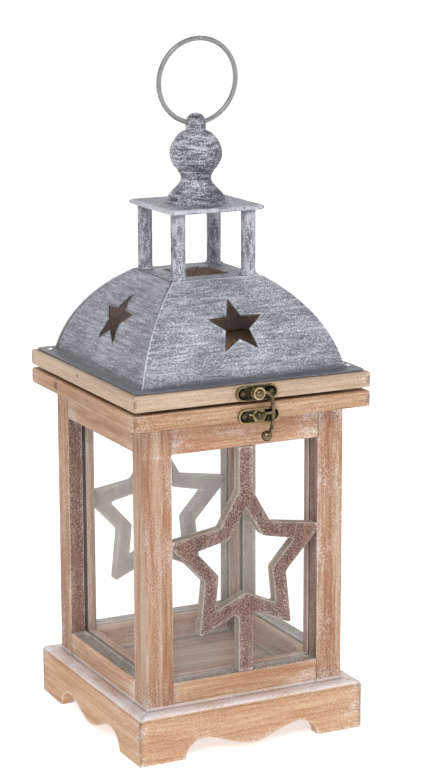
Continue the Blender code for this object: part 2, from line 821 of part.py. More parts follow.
def keeper_plate():
    """The lower plate; a small curved rib runs over its left pocket to the boss."""
    level = PLATE_FACE
    route = [
        (-PLATE_BOSS_RADIUS - 2.0 * MM, 0.9 * MM, level - KEEPER_RIB_RADIUS),
        (-PLATE_BOSS_RADIUS - 0.4 * MM, 0.7 * MM, level),
        (-PEG_HEAD_RADIUS - 2 * GAP - KEEPER_RIB_RADIUS, -0.3 * MM, level - GAP / 2),
    ]
    return joined(recessed_plate(PEG_NECK_RADIUS), bent_wire(route, KEEPER_RIB_RADIUS, 2, 4))


def plate_screw():
    """A small domed screw with crossed slots."""
    radius, rise = PLATE_SCREW_HEAD_RADIUS, PLATE_RECESS - 1.5 * GAP
    foot, shank = SCREW_SEAT, PLATE_SCREW_RADIUS
    top = foot + rise
    tip = foot - PLATE_SCREW_LENGTH
    profile = [(0, top), (radius * 0.55, top - rise * 0.1), (radius * 0.9, top - rise * 0.5)]
    profile += [(radius, foot), (shank, foot), (shank, tip + shank), (0, tip)]
    screw = turned(profile, SIDES_SMALL)
    long, narrow, floor = radius * 0.6, SCREW_SLOT_WIDTH / 2, top - rise / 2
    for x, y in ((long, narrow), (narrow, long)):
        screw = cut(screw, box((-x, -y, floor), (x, y, top + rise)))
    return screw


def dome_profile(radius, foot, rise, steps=5):
    """Quarter ellipse from the top of a domed head down to its rim."""
    points = []
    for step in range(steps + 1):
        angle = pi / 2 * step / steps
        points.append((radius * sin(angle), foot + rise * cos(angle)))
    return points


def latch_rivet():
    """The rivet that the hook turns on, domed outside and peened into the lid."""
    foot = EYE_TOP + GAP
    profile = dome_profile(RIVET_DOME_RADIUS, foot, RIVET_DOME_HEIGHT)
    profile += [(RIVET_RADIUS, foot), (RIVET_RADIUS, -RIVET_DEPTH), (0, -RIVET_DEPTH)]
    return turned(profile, SIDES_ROD)


def keeper_peg():
    """The mushroom headed peg beside which the hook rests."""
    foot, top = PEG_HEAD_FOOT, PEG_HEAD_FOOT + PEG_HEAD_THICKNESS
    radius, neck = PEG_HEAD_RADIUS, PEG_NECK_RADIUS
    profile = [(0, top), (radius * 0.6, top), (radius, top - PEG_HEAD_THICKNESS * 0.4)]
    profile += [(radius, foot + PEG_HEAD_THICKNESS * 0.2), (radius * 0.85, foot), (neck, foot)]
    profile += [(neck, -RIVET_DEPTH), (0, -RIVET_DEPTH)]
    return turned(profile, SIDES_SMALL)


def latch_hook():
    """The swinging hook: an eye, a curved arm that ends in a ball, and a short claw."""
    shares = [
        (0.24, -0.04, 0.0),
        (0.63, 0.02, 0.0),
        (0.9, 0.15, 0.0),
        (1.0, 0.32, 0.0),
        (1.0, 0.5, 0.0),
        (0.95, 0.67, 0.05),
        (0.81, 0.83, 0.42),
        (0.55, 0.95, 0.84),
    ]
    route = []
    for across, drop, lift in shares:
        level = ARM_LEVEL + lift * HOOK_BALL_LIFT
        route.append((across * HOOK_REACH, -drop * HOOK_BALL_DROP, level))
    arm = bent_wire(route, HOOK_ARM_RADIUS, 2, 4)
    eye = rod((0, 0, EYE_FOOT), (0, 0, EYE_TOP), HOOK_EYE_RADIUS, SIDES_ROD)
    knob = ball((HOOK_BALL_ACROSS, -HOOK_BALL_DROP, BALL_LEVEL), HOOK_BALL_RADIUS, 16, 10)
    claw_y = CLAW_RISE - KEEPER_DROP
    tip_x = KEEPER_X - LATCH_X + PEG_HEAD_RADIUS + GAP
    claw = rod((HOOK_REACH, claw_y, ARM_LEVEL), (tip_x, claw_y, ARM_LEVEL), CLAW_RADIUS)
    bore = rod((0, 0, 0), (0, 0, 2 * EYE_TOP), RIVET_RADIUS + GAP, SIDES_ROD)
    return cut(joined(eye, arm, claw, knob), bore)


# Roof: modelled at the front, z = 0 on top of the flange


def dome_circle():
    """Centre (distance out, height) of the arc through the dome's foot and the deck's edge."""
    foot = Vector((DOME_SIDE / 2, 0))
    top = Vector((DECK_HALF, DOME_RISE))
    chord = top - foot
    outward = Vector((chord.y, -chord.x)).normalized()
    inset = sqrt(DOME_RADIUS**2 - (chord.length / 2) ** 2)
    return (foot + top) / 2 - outward * inset


def fillet_circle():
    """Centre of the fillet between the flange and the dome, and its angle to the dome's centre."""
    dome = dome_circle()
    rise = FLANGE_FILLET - dome.y
    across = sqrt((DOME_RADIUS + FLANGE_FILLET) ** 2 - rise**2)
    centre = Vector((dome.x + across, FLANGE_FILLET))
    return centre, atan2(-rise, -across) % (2 * pi)


def roof_curve(offset):
    """The sheet's surface from the fillet to the deck, set in by the offset."""
    dome = dome_circle()
    fillet, meeting = fillet_circle()
    points = arc(fillet, FLANGE_FILLET + offset, 3 * pi / 2, meeting, 3)
    radius = DOME_RADIUS - offset
    last = acos((DECK_HALF - dome.x) / radius)
    return points + arc(dome, radius, meeting - pi, last, 14)[1:]


def trimmed_reach(height):
    """How far out the space under the front and back panels reaches at a height."""
    offset = SHEET + GAP
    dome = dome_circle()
    fillet, meeting = fillet_circle()
    if height < fillet.y + (FLANGE_FILLET + offset) * sin(meeting):
        return fillet.x - sqrt((FLANGE_FILLET + offset) ** 2 - (fillet.y - height) ** 2)
    return dome.x + sqrt((DOME_RADIUS - offset) ** 2 - (height - dome.y) ** 2)


def sheet_panel(over, under, over_reach, under_reach):
    """A bent sheet between two surfaces of (distance out, height) points.

    The reaches are its half lengths along X at each point.
    """
    shape = bmesh.new()
    rows = []
    for points, reaches in ((over, over_reach), (under, under_reach)):
        for side in (-1, 1):
            row = []
            for (out, height), reach in zip(points, reaches):
                row.append(shape.verts.new((side * reach, -out, height)))
            rows.append(row)
    over_left, over_right, under_left, under_right = rows
    for index in range(len(over) - 1):
        following = index + 1
        for first, second in (
            (over_left, over_right),
            (under_left, under_right),
            (over_left, under_left),
            (over_right, under_right),
        ):
            shape.faces.new((first[index], first[following], second[following], second[index]))
    for index in (0, -1):
        shape.faces.new((over_left[index], over_right[index], under_right[index], under_left[index]))
    bmesh.ops.recalc_face_normals(shape, faces=shape.faces)
    return shape


def lapping_panel():
    """A front or back panel: it carries the flange's corners and laps over the side panels."""
    over, under, reach = [], [], []
    radius = FLANGE_CORNER_RADIUS
    for step in range(5):
        angle = pi / 8 * step
        out = FLANGE_HALF - radius + radius * cos(angle)
        over.append((out, 0))
        under.append((out, -SHEET))
        reach.append(FLANGE_HALF - radius + radius * sin(angle))
    start = roof_curve(0)[0][0]
    over.append((start + CORNER_STEP, 0))
    under.append((start + CORNER_STEP, -SHEET))
    reach.append(FLANGE_HALF)
    curve = roof_curve(0)
    over += curve
    under += roof_curve(SHEET)
    reach += [out + SEAM_LAP for out, height in curve]
    return cut(sheet_panel(over, under, reach, reach), roof_star_cutter())


def fitted_panel():
    """A left or right panel: it ends under the front and back panels."""
    start = roof_curve(0)[0][0]
    shoulder = start + SEAM_LAP + GAP
    over = [(FLANGE_HALF, 0), (shoulder + CORNER_STEP, 0), (shoulder, 0)] + roof_curve(0)
    under = [(out, -SHEET) for out, height in over[:3]] + roof_curve(SHEET)
    reaches = []
    for surface in (over, under):
        reach = [start - GAP, start - GAP]
        reach += [trimmed_reach(height) for out, height in surface[2:]]
        reaches.append(reach)
    panel = cut(sheet_panel(over, under, *reaches), roof_star_cutter())
    return cut(panel, nail_hole(FLANGE_TOP))


def roof_star_cutter():
    """A star that follows the dome's curve, thick enough to go through the sheet."""
    dome = dome_circle()
    foot_angle = asin(-dome.y / DOME_RADIUS)
    corners = star_points(ROOF_STAR_TIP_RADIUS, ROOF_STAR_NOTCH_RADIUS)
    parts = 4
    outline = []
    for corner, following in zip(corners, corners[1:] + corners[:1]):
        for part in range(parts):
            outline.append(Vector(corner).lerp(Vector(following), part / parts))
    shape = bmesh.new()
    layers = []
    for radius in (DOME_RADIUS + 2 * SHEET, DOME_RADIUS - 3 * SHEET):
        layer = []
        for across, along in [(0, 0)] + [tuple(point) for point in outline]:
            angle = foot_angle + (ROOF_STAR_HEIGHT + along) / DOME_RADIUS
            out = dome.x + radius * cos(angle)
            layer.append(shape.verts.new((across, -out, dome.y + radius * sin(angle))))
        layers.append(layer)
    outer, inner = layers
    count = len(outline)
    for index in range(1, count + 1):
        following = index % count + 1
        shape.faces.new((outer[0], outer[index], outer[following]))
        shape.faces.new((inner[0], inner[following], inner[index]))
        shape.faces.new((outer[index], inner[index], inner[following], outer[following]))
    bmesh.ops.recalc_face_normals(shape, faces=shape.faces)
    return shape


def roof_deck():
    """The flat square on top of the dome, with the opening for the heat."""
    half, hole = DECK_HALF - GAP, DECK_OPENING / 2
    deck = box((-half, -half, -SHEET), (half, half, 0))
    return cut(deck, box((-hole, -hole, -2 * SHEET), (hole, hole, SHEET)))


def roof_nail():
    """A domed nail that holds a side panel's flange on the lid."""
    foot = GAP
    profile = dome_profile(NAIL_HEAD_RADIUS, foot, NAIL_HEAD_RADIUS / 2, 3)
    tip = -NAIL_LENGTH
    profile += [(NAIL_RADIUS, foot), (NAIL_RADIUS, tip + 2 * NAIL_RADIUS), (0, tip)]
    return turned(profile, SIDES_SMALL)


# Chimney, finial and ring


def column():
    """A round column with a small flare where it is brazed to the deck."""
    height = CANOPY_TOP - CANOPY_SHEET - GAP - DECK_TOP - GAP
    profile = [(0, height), (COLUMN_RADIUS, height)]
    for step in range(5):
        angle = pi / 2 * step / 4
        radius = COLUMN_RADIUS + COLUMN_FLARE * (1 - cos(angle))
        profile.append((radius, COLUMN_FLARE_HEIGHT * (1 - sin(angle))))
    profile.append((0, 0))
    return turned(profile, SIDES_ROD)


def canopy_plate():
    """A square plate with a rolled hem along each edge, open at the corners; top at z = 0."""
    axis = CANOPY_HALF - HEM_RADIUS
    reach = CANOPY_HALF - HEM_CORNER_GAP
    level = HEM_PROUD - HEM_RADIUS
    plate = box((-axis, -axis, -CANOPY_SHEET), (axis, axis, 0))
    for side in (-1, 1):
        across = rod((-reach, side * axis, level), (reach, side * axis, level), HEM_RADIUS)
        along = rod((side * axis, -reach, level), (side * axis, reach, level), HEM_RADIUS)
        plate = joined(plate, across, along)
    hole = rod((0, 0, -HEM_RADIUS * 2), (0, 0, HEM_RADIUS * 2), SPIGOT_RADIUS + GAP, SIDES_ROD)
    return cut(plate, hole)


def eased(first, last, rule, steps):
    """Profile points from one (radius, height) to another; rule maps 0..1 to 0..1."""
    points = []
    for step in range(1, steps + 1):
        share = step / steps
        radius = first[0] + (last[0] - first[0]) * rule(share)
        points.append((radius, first[1] + (last[1] - first[1]) * share))
    return points


def finial():
    """The turned finial: a flared foot, neck, bead, bulb and a knob with the ring's hole.

    Its spigot goes down through the canopy plate and is riveted over below it.
    """
    foot = (FINIAL_FOOT_RADIUS, FINIAL_FOOT_EDGE)
    neck = (FINIAL_NECK_RADIUS, FINIAL_NECK_HEIGHT)
    bead_low = (FINIAL_BEAD_RADIUS - FINIAL_BEAD_PROUD, FINIAL_BEAD_HEIGHT - FINIAL_BEAD_PROUD)
    bead_high = (bead_low[0], FINIAL_BEAD_HEIGHT + FINIAL_BEAD_PROUD)
    bulb = (FINIAL_BULB_RADIUS, FINIAL_BULB_HEIGHT)
    shoulder = (FINIAL_SHOULDER_RADIUS, FINIAL_SHOULDER_HEIGHT)
    seat = -(CANOPY_SHEET + 2 * GAP)
    end = seat - SPIGOT_HEAD_HEIGHT
    profile = [(0, end), (SPIGOT_HEAD_RADIUS * 0.7, end), (SPIGOT_HEAD_RADIUS, seat)]
    profile += [(SPIGOT_RADIUS, seat), (SPIGOT_RADIUS, 0), (FINIAL_FOOT_RADIUS, 0), foot]
    profile += eased(foot, neck, lambda share: (1 - cos(pi * share)) / 2, 7)
    profile += eased(neck, bead_low, lambda share: share * share, 3)
    profile += [(FINIAL_BEAD_RADIUS, FINIAL_BEAD_HEIGHT), bead_high]
    profile += eased(bead_high, bulb, lambda share: sin(pi / 2 * share), 5)
    profile += eased(bulb, shoulder, lambda share: 1 - cos(pi / 2 * share), 7)
    profile.append((LOOP_RADIUS, FINIAL_SHOULDER_HEIGHT + GAP))
    profile += arc((0, LOOP_HEIGHT), LOOP_RADIUS, 0, pi / 2, 5)[:-1]
    profile.append((0, LOOP_HEIGHT + LOOP_RADIUS))
    body = turned(profile[::-1], SIDES_FINE)
    reach = 2 * LOOP_RADIUS
    eye = rod((-reach, 0, LOOP_HEIGHT), (reach, 0, LOOP_HEIGHT), LOOP_HOLE_RADIUS, SIDES_ROD)
    return cut(body, eye)


def ring_handle():
    """The wire ring, its bottom on the ring's axis, with the butt joint at the top."""
    shape = bmesh.new()
    opening = RING_JOINT_GAP / RING_RADIUS
    bottom = Matrix.Translation((0, 0, -RING_RADIUS)) @ Matrix.Rotation(pi / 2, 4, "Y")
    start = Matrix.Rotation(pi + opening / 2, 4, "Y")
    section = bmesh.ops.create_circle(
        shape, cap_ends=True, segments=SIDES_SMALL, radius=RING_WIRE_RADIUS, matrix=start @ bottom
    )
    bmesh.ops.spin(
        shape,
        geom=section["verts"] + list(shape.edges) + list(shape.faces),
        axis=(0, 1, 0),
        cent=(0, 0, 0),
        angle=2 * pi - opening,
        steps=64,
    )
    bmesh.ops.recalc_face_normals(shape, faces=shape.faces)
    shape = moved(shape, (0, 0, RING_RADIUS))
    return moved(shape, turn=Matrix.Rotation(RING_LEAN, 4, "X"))


# Assembly


def build_base(pivot, wood, pale_wood, fret_wood, glass, steel, bronze):
    """Everything that stands still."""
    place_round("skirt", same_all_round(finished(skirt_board(), "skirt", 30)), wood, pivot)
    floor = box((-BODY_HALF, -BODY_HALF, 0), (BODY_HALF, BODY_HALF, FLOOR_THICKNESS))
    height = (0, 0, FLOOR_TOP - FLOOR_THICKNESS)
    place("floor_board", finished(floor, "floor_board"), pale_wood, pivot, height)

    post_mesh = finished(post(), "post", 30)
    middle = BODY_HALF - POST_SIDE / 2
    corners = (("back_right", 1, 1), ("back_left", -1, 1), ("front_left", -1, -1), ("front_right", 1, -1))
    for index, (corner, side_x, side_y) in enumerate(corners):
        spot = (side_x * middle, side_y * middle, BODY_FOOT)
        place(f"post_{corner}", post_mesh, wood, pivot, spot, (0, 0, index * pi / 2))

    low = same_all_round(finished(rail(BOTTOM_RAIL_HEIGHT, True), "bottom_rail", 30))
    high = same_all_round(finished(rail(TOP_RAIL_HEIGHT, False), "top_rail", 30))
    place_round("bottom_rail", low, wood, pivot, BODY_FOOT)
    place_round("top_rail", high, wood, pivot, WINDOW_HEAD)
    place_round("glass", same_all_round(finished(glass_pane(), "glass")), glass, pivot)
    star = finished(window_star(), "star", 30)
    place("star_front", star, fret_wood, pivot)
    place("star_back", star, fret_wood, pivot, rotation=(0, 0, pi))
    place_round("frame_board", frame_boards(), wood, pivot, FRAME_FOOT)

    leaf = finished(hinge_leaf(False), "hinge_leaf_lower", 30)
    pin = finished(hinge_pin(), "hinge_pin", 30)
    for side, across in (("left", -HINGE_OFFSET), ("right", HINGE_OFFSET)):
        place(f"hinge_leaf_lower_{side}", leaf, steel, pivot, HINGE_AXIS + Vector((across, 0, 0)))
        place(f"hinge_pin_{side}", pin, steel, pivot, HINGE_AXIS + Vector((across, 0, 0)))

    for name, shape in (("keeper_plate", keeper_plate()), ("keeper_peg", keeper_peg())):
        place(name, finished(shape, name, 40), bronze, pivot, KEEPER_CENTRE, FACE_UP)
    place_plate_screws("keeper", bronze, pivot, KEEPER_CENTRE)


def place_plate_screws(plate, material, pivot, centre):
    """The two screws of the latch's or the keeper's plate."""
    screw = finished(plate_screw(), f"{plate}_screw", 40)
    for side, sign in (("left", -1), ("right", 1)):
        spot = centre + Vector((sign * PLATE_SCREW_OFFSET, 0, 0))
        place(f"{plate}_screw_{side}", screw, material, pivot, spot, FACE_UP)


def build_lid(pivot, wood, zinc, steel, bronze):
    """The lid with the roof, the chimney and the upper half of the latch."""
    place_round("lid_board", lid_boards(), wood, pivot, LID_FOOT)
    lapping = finished(lapping_panel(), "roof_panel_lapping", 30)
    fitted = finished(fitted_panel(), "roof_panel_fitted", 30)
    panels = {"front": lapping, "right": fitted, "back": lapping, "left": fitted}
    place_round("roof_panel", panels, zinc, pivot, FLANGE_TOP)
    place("roof_deck", finished(roof_deck(), "roof_deck"), zinc, pivot, (0, 0, DECK_TOP))
    nail = finished(roof_nail(), "roof_nail", 40)
    for side, sign in (("left", -1), ("right", 1)):
        spot = (sign * NAIL_OFFSET_OUT, -sign * NAIL_OFFSET_ALONG, FLANGE_TOP)
        place(f"roof_nail_{side}", nail, steel, pivot, spot)

    column_mesh = finished(column(), "column", 40)
    for depth, side_y in (("front", -1), ("back", 1)):
        for side, side_x in (("left", -1), ("right", 1)):
            spot = (side_x * COLUMN_OFFSET, side_y * COLUMN_OFFSET, DECK_TOP + GAP)
            place(f"column_{depth}_{side}", column_mesh, zinc, pivot, spot)
    place("canopy_plate", finished(canopy_plate(), "canopy_plate", 30), zinc, pivot, (0, 0, CANOPY_TOP))
    place("finial", finished(finial(), "finial", 40), zinc, pivot, (0, 0, FINIAL_FOOT))

    leaf = finished(hinge_leaf(True), "hinge_leaf_upper", 30)
    for side, across in (("left", -HINGE_OFFSET), ("right", HINGE_OFFSET)):
        place(f"hinge_leaf_upper_{side}", leaf, steel, pivot, HINGE_AXIS + Vector((across, 0, 0)))

    latch_parts = (("latch_plate", recessed_plate(RIVET_RADIUS)), ("latch_rivet", latch_rivet()))
    for name, shape in latch_parts:
        place(name, finished(shape, name, 40), bronze, pivot, LATCH_PIVOT, FACE_UP)
    place_plate_screws("latch", bronze, pivot, LATCH_PIVOT)


def build():
    """The whole lantern."""
    clear_scene()
    wood = make_material("whitewashed_pine", (0.58, 0.35, 0.20), 0.65)
    lid_wood = make_material("pale_pine", (0.68, 0.51, 0.35), 0.65)
    fret_wood = make_material("stained_fretwork", (0.25, 0.15, 0.12), 0.7)
    glass = make_material("float_glass", (0.92, 0.95, 0.94), 0.05, alpha=0.25)
    zinc = make_material("brushed_zinc_paint", (0.28, 0.29, 0.34), 0.6, 0.3)
    ring_steel = make_material("grey_ring_wire", (0.28, 0.26, 0.25), 0.45, 0.8)
    steel = make_material("zinc_plated_steel", (0.6, 0.6, 0.6), 0.35, 1.0)
    bronze = make_material("antique_bronze", (0.12, 0.09, 0.05), 0.4, 0.9)

    lantern = make_pivot("lantern", None, (0, 0, 0))
    lid = make_pivot("lid_hinge", lantern, HINGE_AXIS)
    hook = make_pivot("hook_pivot", lid, LATCH_PIVOT)
    ring = make_pivot("ring_pivot", lid, RING_AXIS)

    build_base(lantern, wood, lid_wood, fret_wood, glass, steel, bronze)
    build_lid(lid, lid_wood, zinc, steel, bronze)
    hook_mesh = finished(latch_hook(), "latch_hook", 40)
    place("latch_hook", hook_mesh, bronze, hook, LATCH_PIVOT, FACE_UP)
    place("ring_handle", finished(ring_handle(), "ring_handle", 40), ring_steel, ring, RING_AXIS)


build()
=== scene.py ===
"""Wooden lantern with a hinged sheet metal roof, finished as in its photograph.

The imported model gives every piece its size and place.  Boards get softened arrises and
grain along their length, the roof sheets a smooth bend and brushed paint, and the small
metalwork its own finish.  The heads of screws and nails, the solder beads, the lips round
the pierced stars and the turned finial are grown by Geometry Nodes.
"""

from math import asin, cos, pi, radians, sin, sqrt

import bmesh
import bpy
import numpy as np
from mathutils import Matrix, Vector


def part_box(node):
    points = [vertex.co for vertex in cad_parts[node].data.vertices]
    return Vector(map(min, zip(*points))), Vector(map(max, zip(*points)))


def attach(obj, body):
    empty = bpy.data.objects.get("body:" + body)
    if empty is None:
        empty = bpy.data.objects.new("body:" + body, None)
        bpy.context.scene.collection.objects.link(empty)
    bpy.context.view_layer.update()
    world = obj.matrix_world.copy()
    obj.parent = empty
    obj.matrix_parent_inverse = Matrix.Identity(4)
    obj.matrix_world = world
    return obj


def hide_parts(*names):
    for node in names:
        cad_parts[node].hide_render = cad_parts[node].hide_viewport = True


MM = 0.001

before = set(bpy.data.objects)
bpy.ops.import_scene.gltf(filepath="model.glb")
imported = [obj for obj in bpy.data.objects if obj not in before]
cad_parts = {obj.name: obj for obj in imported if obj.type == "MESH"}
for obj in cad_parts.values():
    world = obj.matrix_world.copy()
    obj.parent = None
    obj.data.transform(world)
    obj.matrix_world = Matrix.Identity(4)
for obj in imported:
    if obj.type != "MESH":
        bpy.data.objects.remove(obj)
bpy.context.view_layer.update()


def piece_centre(node):
    """The middle of a node's box."""
    low, high = (Vector(corner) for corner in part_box(node))
    return (low + high) / 2


# Sizes that the model was built with

SHEET = 1.0 * MM
GAP = 0.3 * MM
GROOVE_DEPTH = 4.0 * MM
FLANGE_SIDE = 155.6 * MM
FLANGE_LEDGE = 9.7 * MM
FLANGE_FILLET = 3.5 * MM
DOME_RISE = 55.4 * MM
DOME_RADIUS = 86.0 * MM
DECK_SIDE = 59.4 * MM
ROOF_STAR_TIP_RADIUS = 20.3 * MM
ROOF_STAR_NOTCH_RADIUS = 8.6 * MM
ROOF_STAR_HEIGHT = 33.0 * MM
HEM_PROUD = 0.2 * MM
HINGE_SCREW_SETBACK = 7.5 * MM
HINGE_SCREW_SPACING = 10.0 * MM
LOOP_HEIGHT = 49.0 * MM
LOOP_HOLE_RADIUS = 2.7 * MM

# Places taken from the model

CANOPY_LOW, CANOPY_HIGH = (Vector(corner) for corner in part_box("canopy_plate"))
AXIS = Vector(((CANOPY_LOW.x + CANOPY_HIGH.x) / 2, (CANOPY_LOW.y + CANOPY_HIGH.y) / 2, 0))
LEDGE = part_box("skirt_front")[1][2]
FLANGE_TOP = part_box("roof_panel_front")[0][2] + SHEET
DECK_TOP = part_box("roof_deck")[1][2]
FINIAL_FOOT = CANOPY_HIGH.z - HEM_PROUD + GAP
HINGE_SCREW_LINE = piece_centre("hinge_pin_left").y - HINGE_SCREW_SETBACK
PANE_MIDDLE = abs(piece_centre("glass_front").y - AXIS.y)
SIDES = ("front", "right", "back", "left")


# Helpers for the nodes of shaders and of grown pieces


def colour(code):
    """A linear colour from an sRGB hex value."""
    parts = [int(code[index : index + 2], 16) / 255 for index in (1, 3, 5)]
    linear = [p / 12.92 if p <= 0.04045 else ((p + 0.055) / 1.055) ** 2.4 for p in parts]
    return (*linear, 1.0)


def add(tree, kind, inputs=None, out=0, stops=(), **settings):
    """Add a node and return one of its outputs, or the node itself where out is None.

    Inputs are constants or sockets, settings its properties and stops its colour ramp.
    """
    node = tree.nodes.new(kind)
    for name, value in settings.items():
        setattr(node, name, value)
    for key, value in (inputs or {}).items():
        if isinstance(value, bpy.types.NodeSocket):
            tree.links.new(value, node.inputs[key])
        else:
            node.inputs[key].default_value = value
    if stops:
        marks = node.color_ramp.elements
        marks[0].position, marks[1].position = stops[0][0], stops[-1][0]
        for position, code in stops[1:-1]:
            marks.new(position)
        for mark, (position, code) in zip(marks, stops):
            mark.color = colour(code)
    return node if out is None else node.outputs[out]


def start_finish(name, roughness, metallic=0.0):
    """A material with its Principled shader, ready for its pattern."""
    material = bpy.data.materials.new(name)
    material.use_nodes = True
    shader = material.node_tree.nodes["Principled BSDF"]
    shader.inputs["Roughness"].default_value = roughness
    shader.inputs["Metallic"].default_value = metallic
    return material, material.node_tree, shader


def coat(tree, shader, tint, rough, relief, strength, depth):
    """Give a surface its colour, its roughness and a relief of so many millimetres."""
    bump = add(
        tree,
        "ShaderNodeBump",
        {"Height": relief, "Strength": strength, "Distance": depth * MM},
        out="Normal",
    )
    for name, value in (("Base Color", tint), ("Roughness", rough), ("Normal", bump)):
        tree.links.new(value, shader.inputs[name])


# Finishes.  The scale of each pattern is how many of its marks go in a millimetre

KNOT_RIM = "#5A3A2C"
# Painted shade below the ledge's rounded arris
ARRIS_FOOT_SHADE = "#5F4A3C"
# Painted shade of the panes' grooves
GROOVE_SHADE = "#24221E"


def timber_finish(
    name, tones, wash, share, worn, ring_share=0.12, ledge=None, knots=(), sandy=0.2
):
    """Pine, planed or sawn, brushed with thin white wash and wiped.

    Soft bands of the three tones run along each board, with fine fibres and faint growth
    rings.  The wash is a sandy speckle: thickest at the ends, along the arrises, in
    patches and by the ledge, so the eye reads paint that was wiped off the open faces.  On the
    ledge it is partly a painted highlight, and below the ledge's rounded arris runs a line of
    painted shade.
    Share is how much wash was left, worn how far the arrises were rubbed.  Sandy goes
    from 0, streaks and patches, to 1, an even fine speckle on sawn faces.
    """
    material, tree, shader = start_finish(name, 0.62)
    board = add(tree, "ShaderNodeAttribute", out="Vector", attribute_name="timber")
    edge = add(tree, "ShaderNodeAttribute", out="Fac", attribute_name="edge")
    end = add(tree, "ShaderNodeAttribute", out="Fac", attribute_name="end")
    place = add(tree, "ShaderNodeTexCoord", out="Object")

    # Noise at four sizes, in marks to the millimetre along and across the grain.  Fibres and
    # specks are drawn coarser than the real ones, which are too fine to show
    noises = {}
    for part, along, across, detail in (
        ("band", 0.008, 0.13, 4.0),
        ("fibre", 0.05, 1.3, 3.0),
        ("patch", 0.035, 0.08, 3.0),
        ("speck", 1.1, 1.6 + 0.5 * sandy, 2.0),
    ):
        scaled = add(
            tree,
            "ShaderNodeVectorMath",
            {0: board, 1: (along, across, across)},
            operation="MULTIPLY",
        )
        noises[part] = add(
            tree,
            "ShaderNodeTexNoise",
            {"Vector": scaled, "Scale": 1.0, "Detail": detail, "Roughness": 0.62},
            out="Fac",
        )

    # Growth rings 3.4 mm apart round the heart of the tree, swaying by up to 7 mm
    slow = add(
        tree, "ShaderNodeVectorMath", {0: board, 1: (0.011, 0.045, 0.045)}, operation="MULTIPLY"
    )
    sway = add(
        tree, "ShaderNodeTexNoise", {"Vector": slow, "Scale": 1.0, "Detail": 2.0}, out="Color"
    )
    swayed = add(
        tree,
        "ShaderNodeVectorMath",
        {0: sway, 1: (0.0, 14.0, 14.0), 2: board},
        operation="MULTIPLY_ADD",
    )
    rings = add(
        tree,
        "ShaderNodeTexWave",
        {"Vector": swayed, "Scale": 0.092, "Distortion": 1.0, "Detail Scale": 0.4},
        out="Fac",
        wave_type="RINGS",
        rings_direction="X",
        wave_profile="SAW",
    )
    late = add(tree, "ShaderNodeMath", {0: rings, 1: 3.0}, operation="POWER")

    # The tone of the wood, from the band, the fibres, the specks and the rings
    tone = add(
        tree, "ShaderNodeMath", {0: noises["band"], 1: 1.0 - 0.6 * sandy}, operation="MULTIPLY"
    )
    for part, weight in (("fibre", 0.6 - 0.3 * sandy), ("speck", 0.5 + 1.3 * sandy)):
        tone = add(
            tree, "ShaderNodeMath", {0: noises[part], 1: weight, 2: tone}, operation="MULTIPLY_ADD"
        )
    tone = add(tree, "ShaderNodeMath", {0: tone, 1: 0.2 * sandy}, operation="SUBTRACT")
    tone = add(tree, "ShaderNodeMath", {0: late, 1: -ring_share, 2: tone}, operation="MULTIPLY_ADD")
    tone = add(tree, "ShaderNodeMapRange", {0: tone, 1: 0.74, 2: 1.4, 3: 0.0, 4: 1.0})
    dark, middle, pale = tones
    wood = add(
        tree, "ShaderNodeValToRGB", {0: tone}, stops=((0.2, dark), (0.5, middle), (0.8, pale))
    )

    # Knots with a ragged dark rim
    for centre, radius in knots:
        offset = add(
            tree,
            "ShaderNodeVectorMath",
            {0: place, 1: tuple(centre)},
            out="Value",
            operation="DISTANCE",
        )
        ragged = add(
            tree,
            "ShaderNodeMath",
            {0: noises["speck"], 1: radius, 2: offset},
            operation="MULTIPLY_ADD",
        )
        spot = add(
            tree, "ShaderNodeMapRange", {0: ragged, 1: radius, 2: 1.9 * radius, 3: 0.8, 4: 0.0}
        )
        wood = add(
            tree, "ShaderNodeMix", {0: spot, 6: wood, 7: colour(KNOT_RIM)}, out=2, data_type="RGBA"
        )

    # Wash: speckle, patches, board ends and arrises added up
    at_end = add(tree, "ShaderNodeMapRange", {0: end, 1: 0.0, 2: 20.0, 3: 0.2, 4: 0.0})
    at_edge = add(tree, "ShaderNodeMapRange", {0: edge, 1: 0.3, 2: 3.0, 3: 0.36 * worn, 4: 0.0})
    near = add(tree, "ShaderNodeMath", {0: at_end, 1: at_edge}, operation="ADD")
    patches = add(
        tree, "ShaderNodeMath", {0: noises["patch"], 1: 1.0 - 0.6 * sandy}, operation="MULTIPLY"
    )
    spread = add(
        tree,
        "ShaderNodeMath",
        {0: noises["speck"], 1: 1.0 + 0.5 * sandy, 2: patches},
        operation="MULTIPLY_ADD",
    )
    amount = add(tree, "ShaderNodeMath", {0: near, 1: spread}, operation="ADD")
    if ledge:
        height = add(tree, "ShaderNodeSeparateXYZ", {0: place}, out=2)
        # On the ledge the wash is thicker: partly wash that settled there, partly a painted
        # highlight on its rounded top
        above = add(tree, "ShaderNodeMath", {0: height, 1: ledge, 2: 1.8 * MM}, operation="COMPARE")
        amount = add(
            tree, "ShaderNodeMath", {0: above, 1: 0.4, 2: amount}, operation="MULTIPLY_ADD"
        )
        # A line of painted shade where the ledge's rounded arris meets the face below
        stop = add(
            tree,
            "ShaderNodeMath",
            {0: height, 1: ledge - 3.1 * MM, 2: 0.35 * MM},
            operation="COMPARE",
        )
        faint = add(tree, "ShaderNodeMath", {0: stop, 1: 0.45}, operation="MULTIPLY")
        wood = add(
            tree,
            "ShaderNodeMix",
            {0: faint, 6: wood, 7: colour(ARRIS_FOOT_SHADE)},
            out=2,
            data_type="RGBA",
        )
    start = 1.3 - 0.5 * share - 0.05 * sandy
    washed = add(
        tree, "ShaderNodeMapRange", {0: amount, 1: start, 2: start + 0.36, 3: 0.0, 4: 0.85}
    )
    wood = add(
        tree, "ShaderNodeMix", {0: washed, 6: wood, 7: colour(wash)}, out=2, data_type="RGBA"
    )

